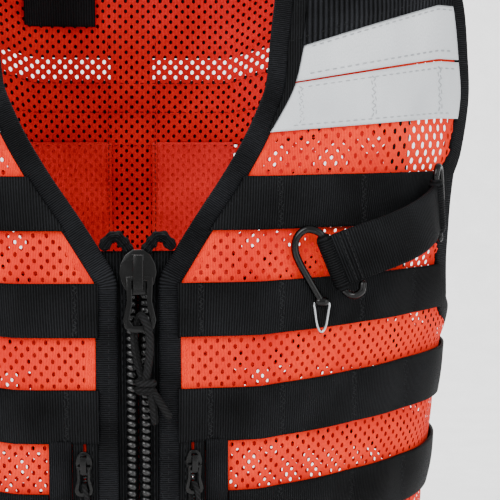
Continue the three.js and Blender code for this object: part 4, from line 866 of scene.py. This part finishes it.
HOOK = [(0.10597, -0.10674, -0.20046), (0.10536, -0.10711, -0.20385), (0.10207, -0.10570, -0.20604),
        (0.09850, -0.10445, -0.20468), (0.09669, -0.10425, -0.20152), (0.09214, -0.10441, -0.19042),
        (0.08759, -0.10458, -0.17932), (0.08486, -0.10481, -0.17590), (0.07920, -0.10467, -0.17476),
        (0.07489, -0.10430, -0.17847), (0.07409, -0.10402, -0.18441), (0.07600, -0.10390, -0.19011),
        (0.08011, -0.10389, -0.19751), (0.08630, -0.10389, -0.20816)]
SIDE_HOOK = [(0.15110, -0.07180, -0.18178), (0.15075, -0.07161, -0.17858), (0.14857, -0.07587, -0.16543),
             (0.14689, -0.07953, -0.15412), (0.14687, -0.08053, -0.14914), (0.14822, -0.07855, -0.14565),
             (0.14999, -0.07494, -0.14740), (0.15124, -0.07197, -0.15527), (0.15230, -0.06918, -0.16483)]
GATE = [(0.08627, -0.10384, -0.20900), (0.08448, -0.10369, -0.20900), (0.08328, -0.10358, -0.21019),
        (0.08362, -0.10361, -0.21299), (0.08484, -0.10372, -0.22060), (0.08680, -0.10389, -0.22351),
        (0.08879, -0.10407, -0.22062), (0.09008, -0.10418, -0.21302), (0.09045, -0.10421, -0.21022),
        (0.08926, -0.10411, -0.20902), (0.08747, -0.10395, -0.20901)]
EYE, EYE_AXIS = np.array((0.08687, -0.10390, -0.20901)), np.array((0.9961, -0.0883, -0.0045))
eye_path = EYE + EYE_AXIS * np.linspace(-0.0014, 0.0014, 7)[:, None]
piece("hook_front_wire", *merge([tube(catmull(HOOK, 8), 0.0018, 16), tube(eye_path, 0.0023, 18)]), PAINT,
      ("snap_hook_front",))
piece("hook_gate_wire", *tube(catmull(GATE, 8), 0.0006, 12), WIRE_STEEL, ("snap_gate",), ride="gate")
piece("hook_side_wire", *tube(catmull(SIDE_HOOK, 8), 0.00165, 16), PAINT, ("snap_hook_side",))

# Any CAD node still shown takes the black paint
for node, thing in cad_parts.items():
    thing.data.materials.clear()
    thing.data.materials.append(PAINT)

# A pass over the flat sizes of the cloth pieces that skips those narrower than 10 mm; nothing more is done with them
NARROWEST = 0.01
for name, (wide, long, area, hand, front) in CUT.items():
    if min(wide, long) < NARROWEST:
        continue

# Soft studio light and a paper backdrop
def panel(name, size, position, target, power, colour="#FFFFFF"):
    """A rectangular area light that points from its position at the target."""
    data = bpy.data.lights.new(name, "AREA")
    data.shape, data.size, data.size_y, data.energy = "RECTANGLE", size[0], size[1], power
    data.color = linear(colour)[:3]
    light = bpy.data.objects.new(name, data)
    light.location = position
    light.visible_camera = False
    way = np.array(position) - np.array(target)
    yaw = math.atan2(way[1], way[0]) + math.pi / 2
    light.rotation_euler = (math.atan2(math.hypot(way[0], way[1]), way[2]), 0, yaw)
    bpy.context.scene.collection.objects.link(light)


CHEST = (0, 0, -0.2)
panel("key", (1.2, 1.2), (-0.9, -1.5, 0.9), CHEST, 38)
panel("fill", (1.4, 1.4), (1.3, -1.3, 0.2), CHEST, 16)
panel("top", (1.2, 1.2), (0.1, 0.9, 1.5), CHEST, 26)
panel("wall", (3.0, 0.8), (0, 0.9, 1.6), (0, 2.2, -0.1), 42)
world = bpy.data.worlds.new("studio")
world.use_nodes = True
world.node_tree.nodes["Background"].inputs["Color"].default_value = linear("#FFFFFF")
world.node_tree.nodes["Background"].inputs["Strength"].default_value = 0.95
bpy.context.scene.world = world
# A paper sweep: flat floor, a quarter turn, then an upright wall behind
FLOOR, BEND_START, BEND_RADIUS, SWEEP_HALF = -0.53, 1.2, 0.8, 4.0
bend = np.linspace(0, np.pi / 2, 65)
turned = np.stack([BEND_START + BEND_RADIUS * np.sin(bend), FLOOR + BEND_RADIUS * (1 - np.cos(bend))], -1)
sweep = np.concatenate([[(-SWEEP_HALF, FLOOR), (BEND_START, FLOOR)], turned[1:], [(2.0, SWEEP_HALF)]])
sweep_points = np.stack([np.repeat([-SWEEP_HALF, SWEEP_HALF], len(sweep)), np.tile(sweep[:, 0], 2),
                         np.tile(sweep[:, 1], 2)], -1)
PAPER = fabric("paper_backdrop", ("#F4F4F4", "#FFFFFF"), noise=300.0, bump=0.02, rough=0.95, gloss=0.1, source="Object")
floor = piece("floor", sweep_points, grid_quads(2, len(sweep)), sweep_points[:, :2], PAPER)
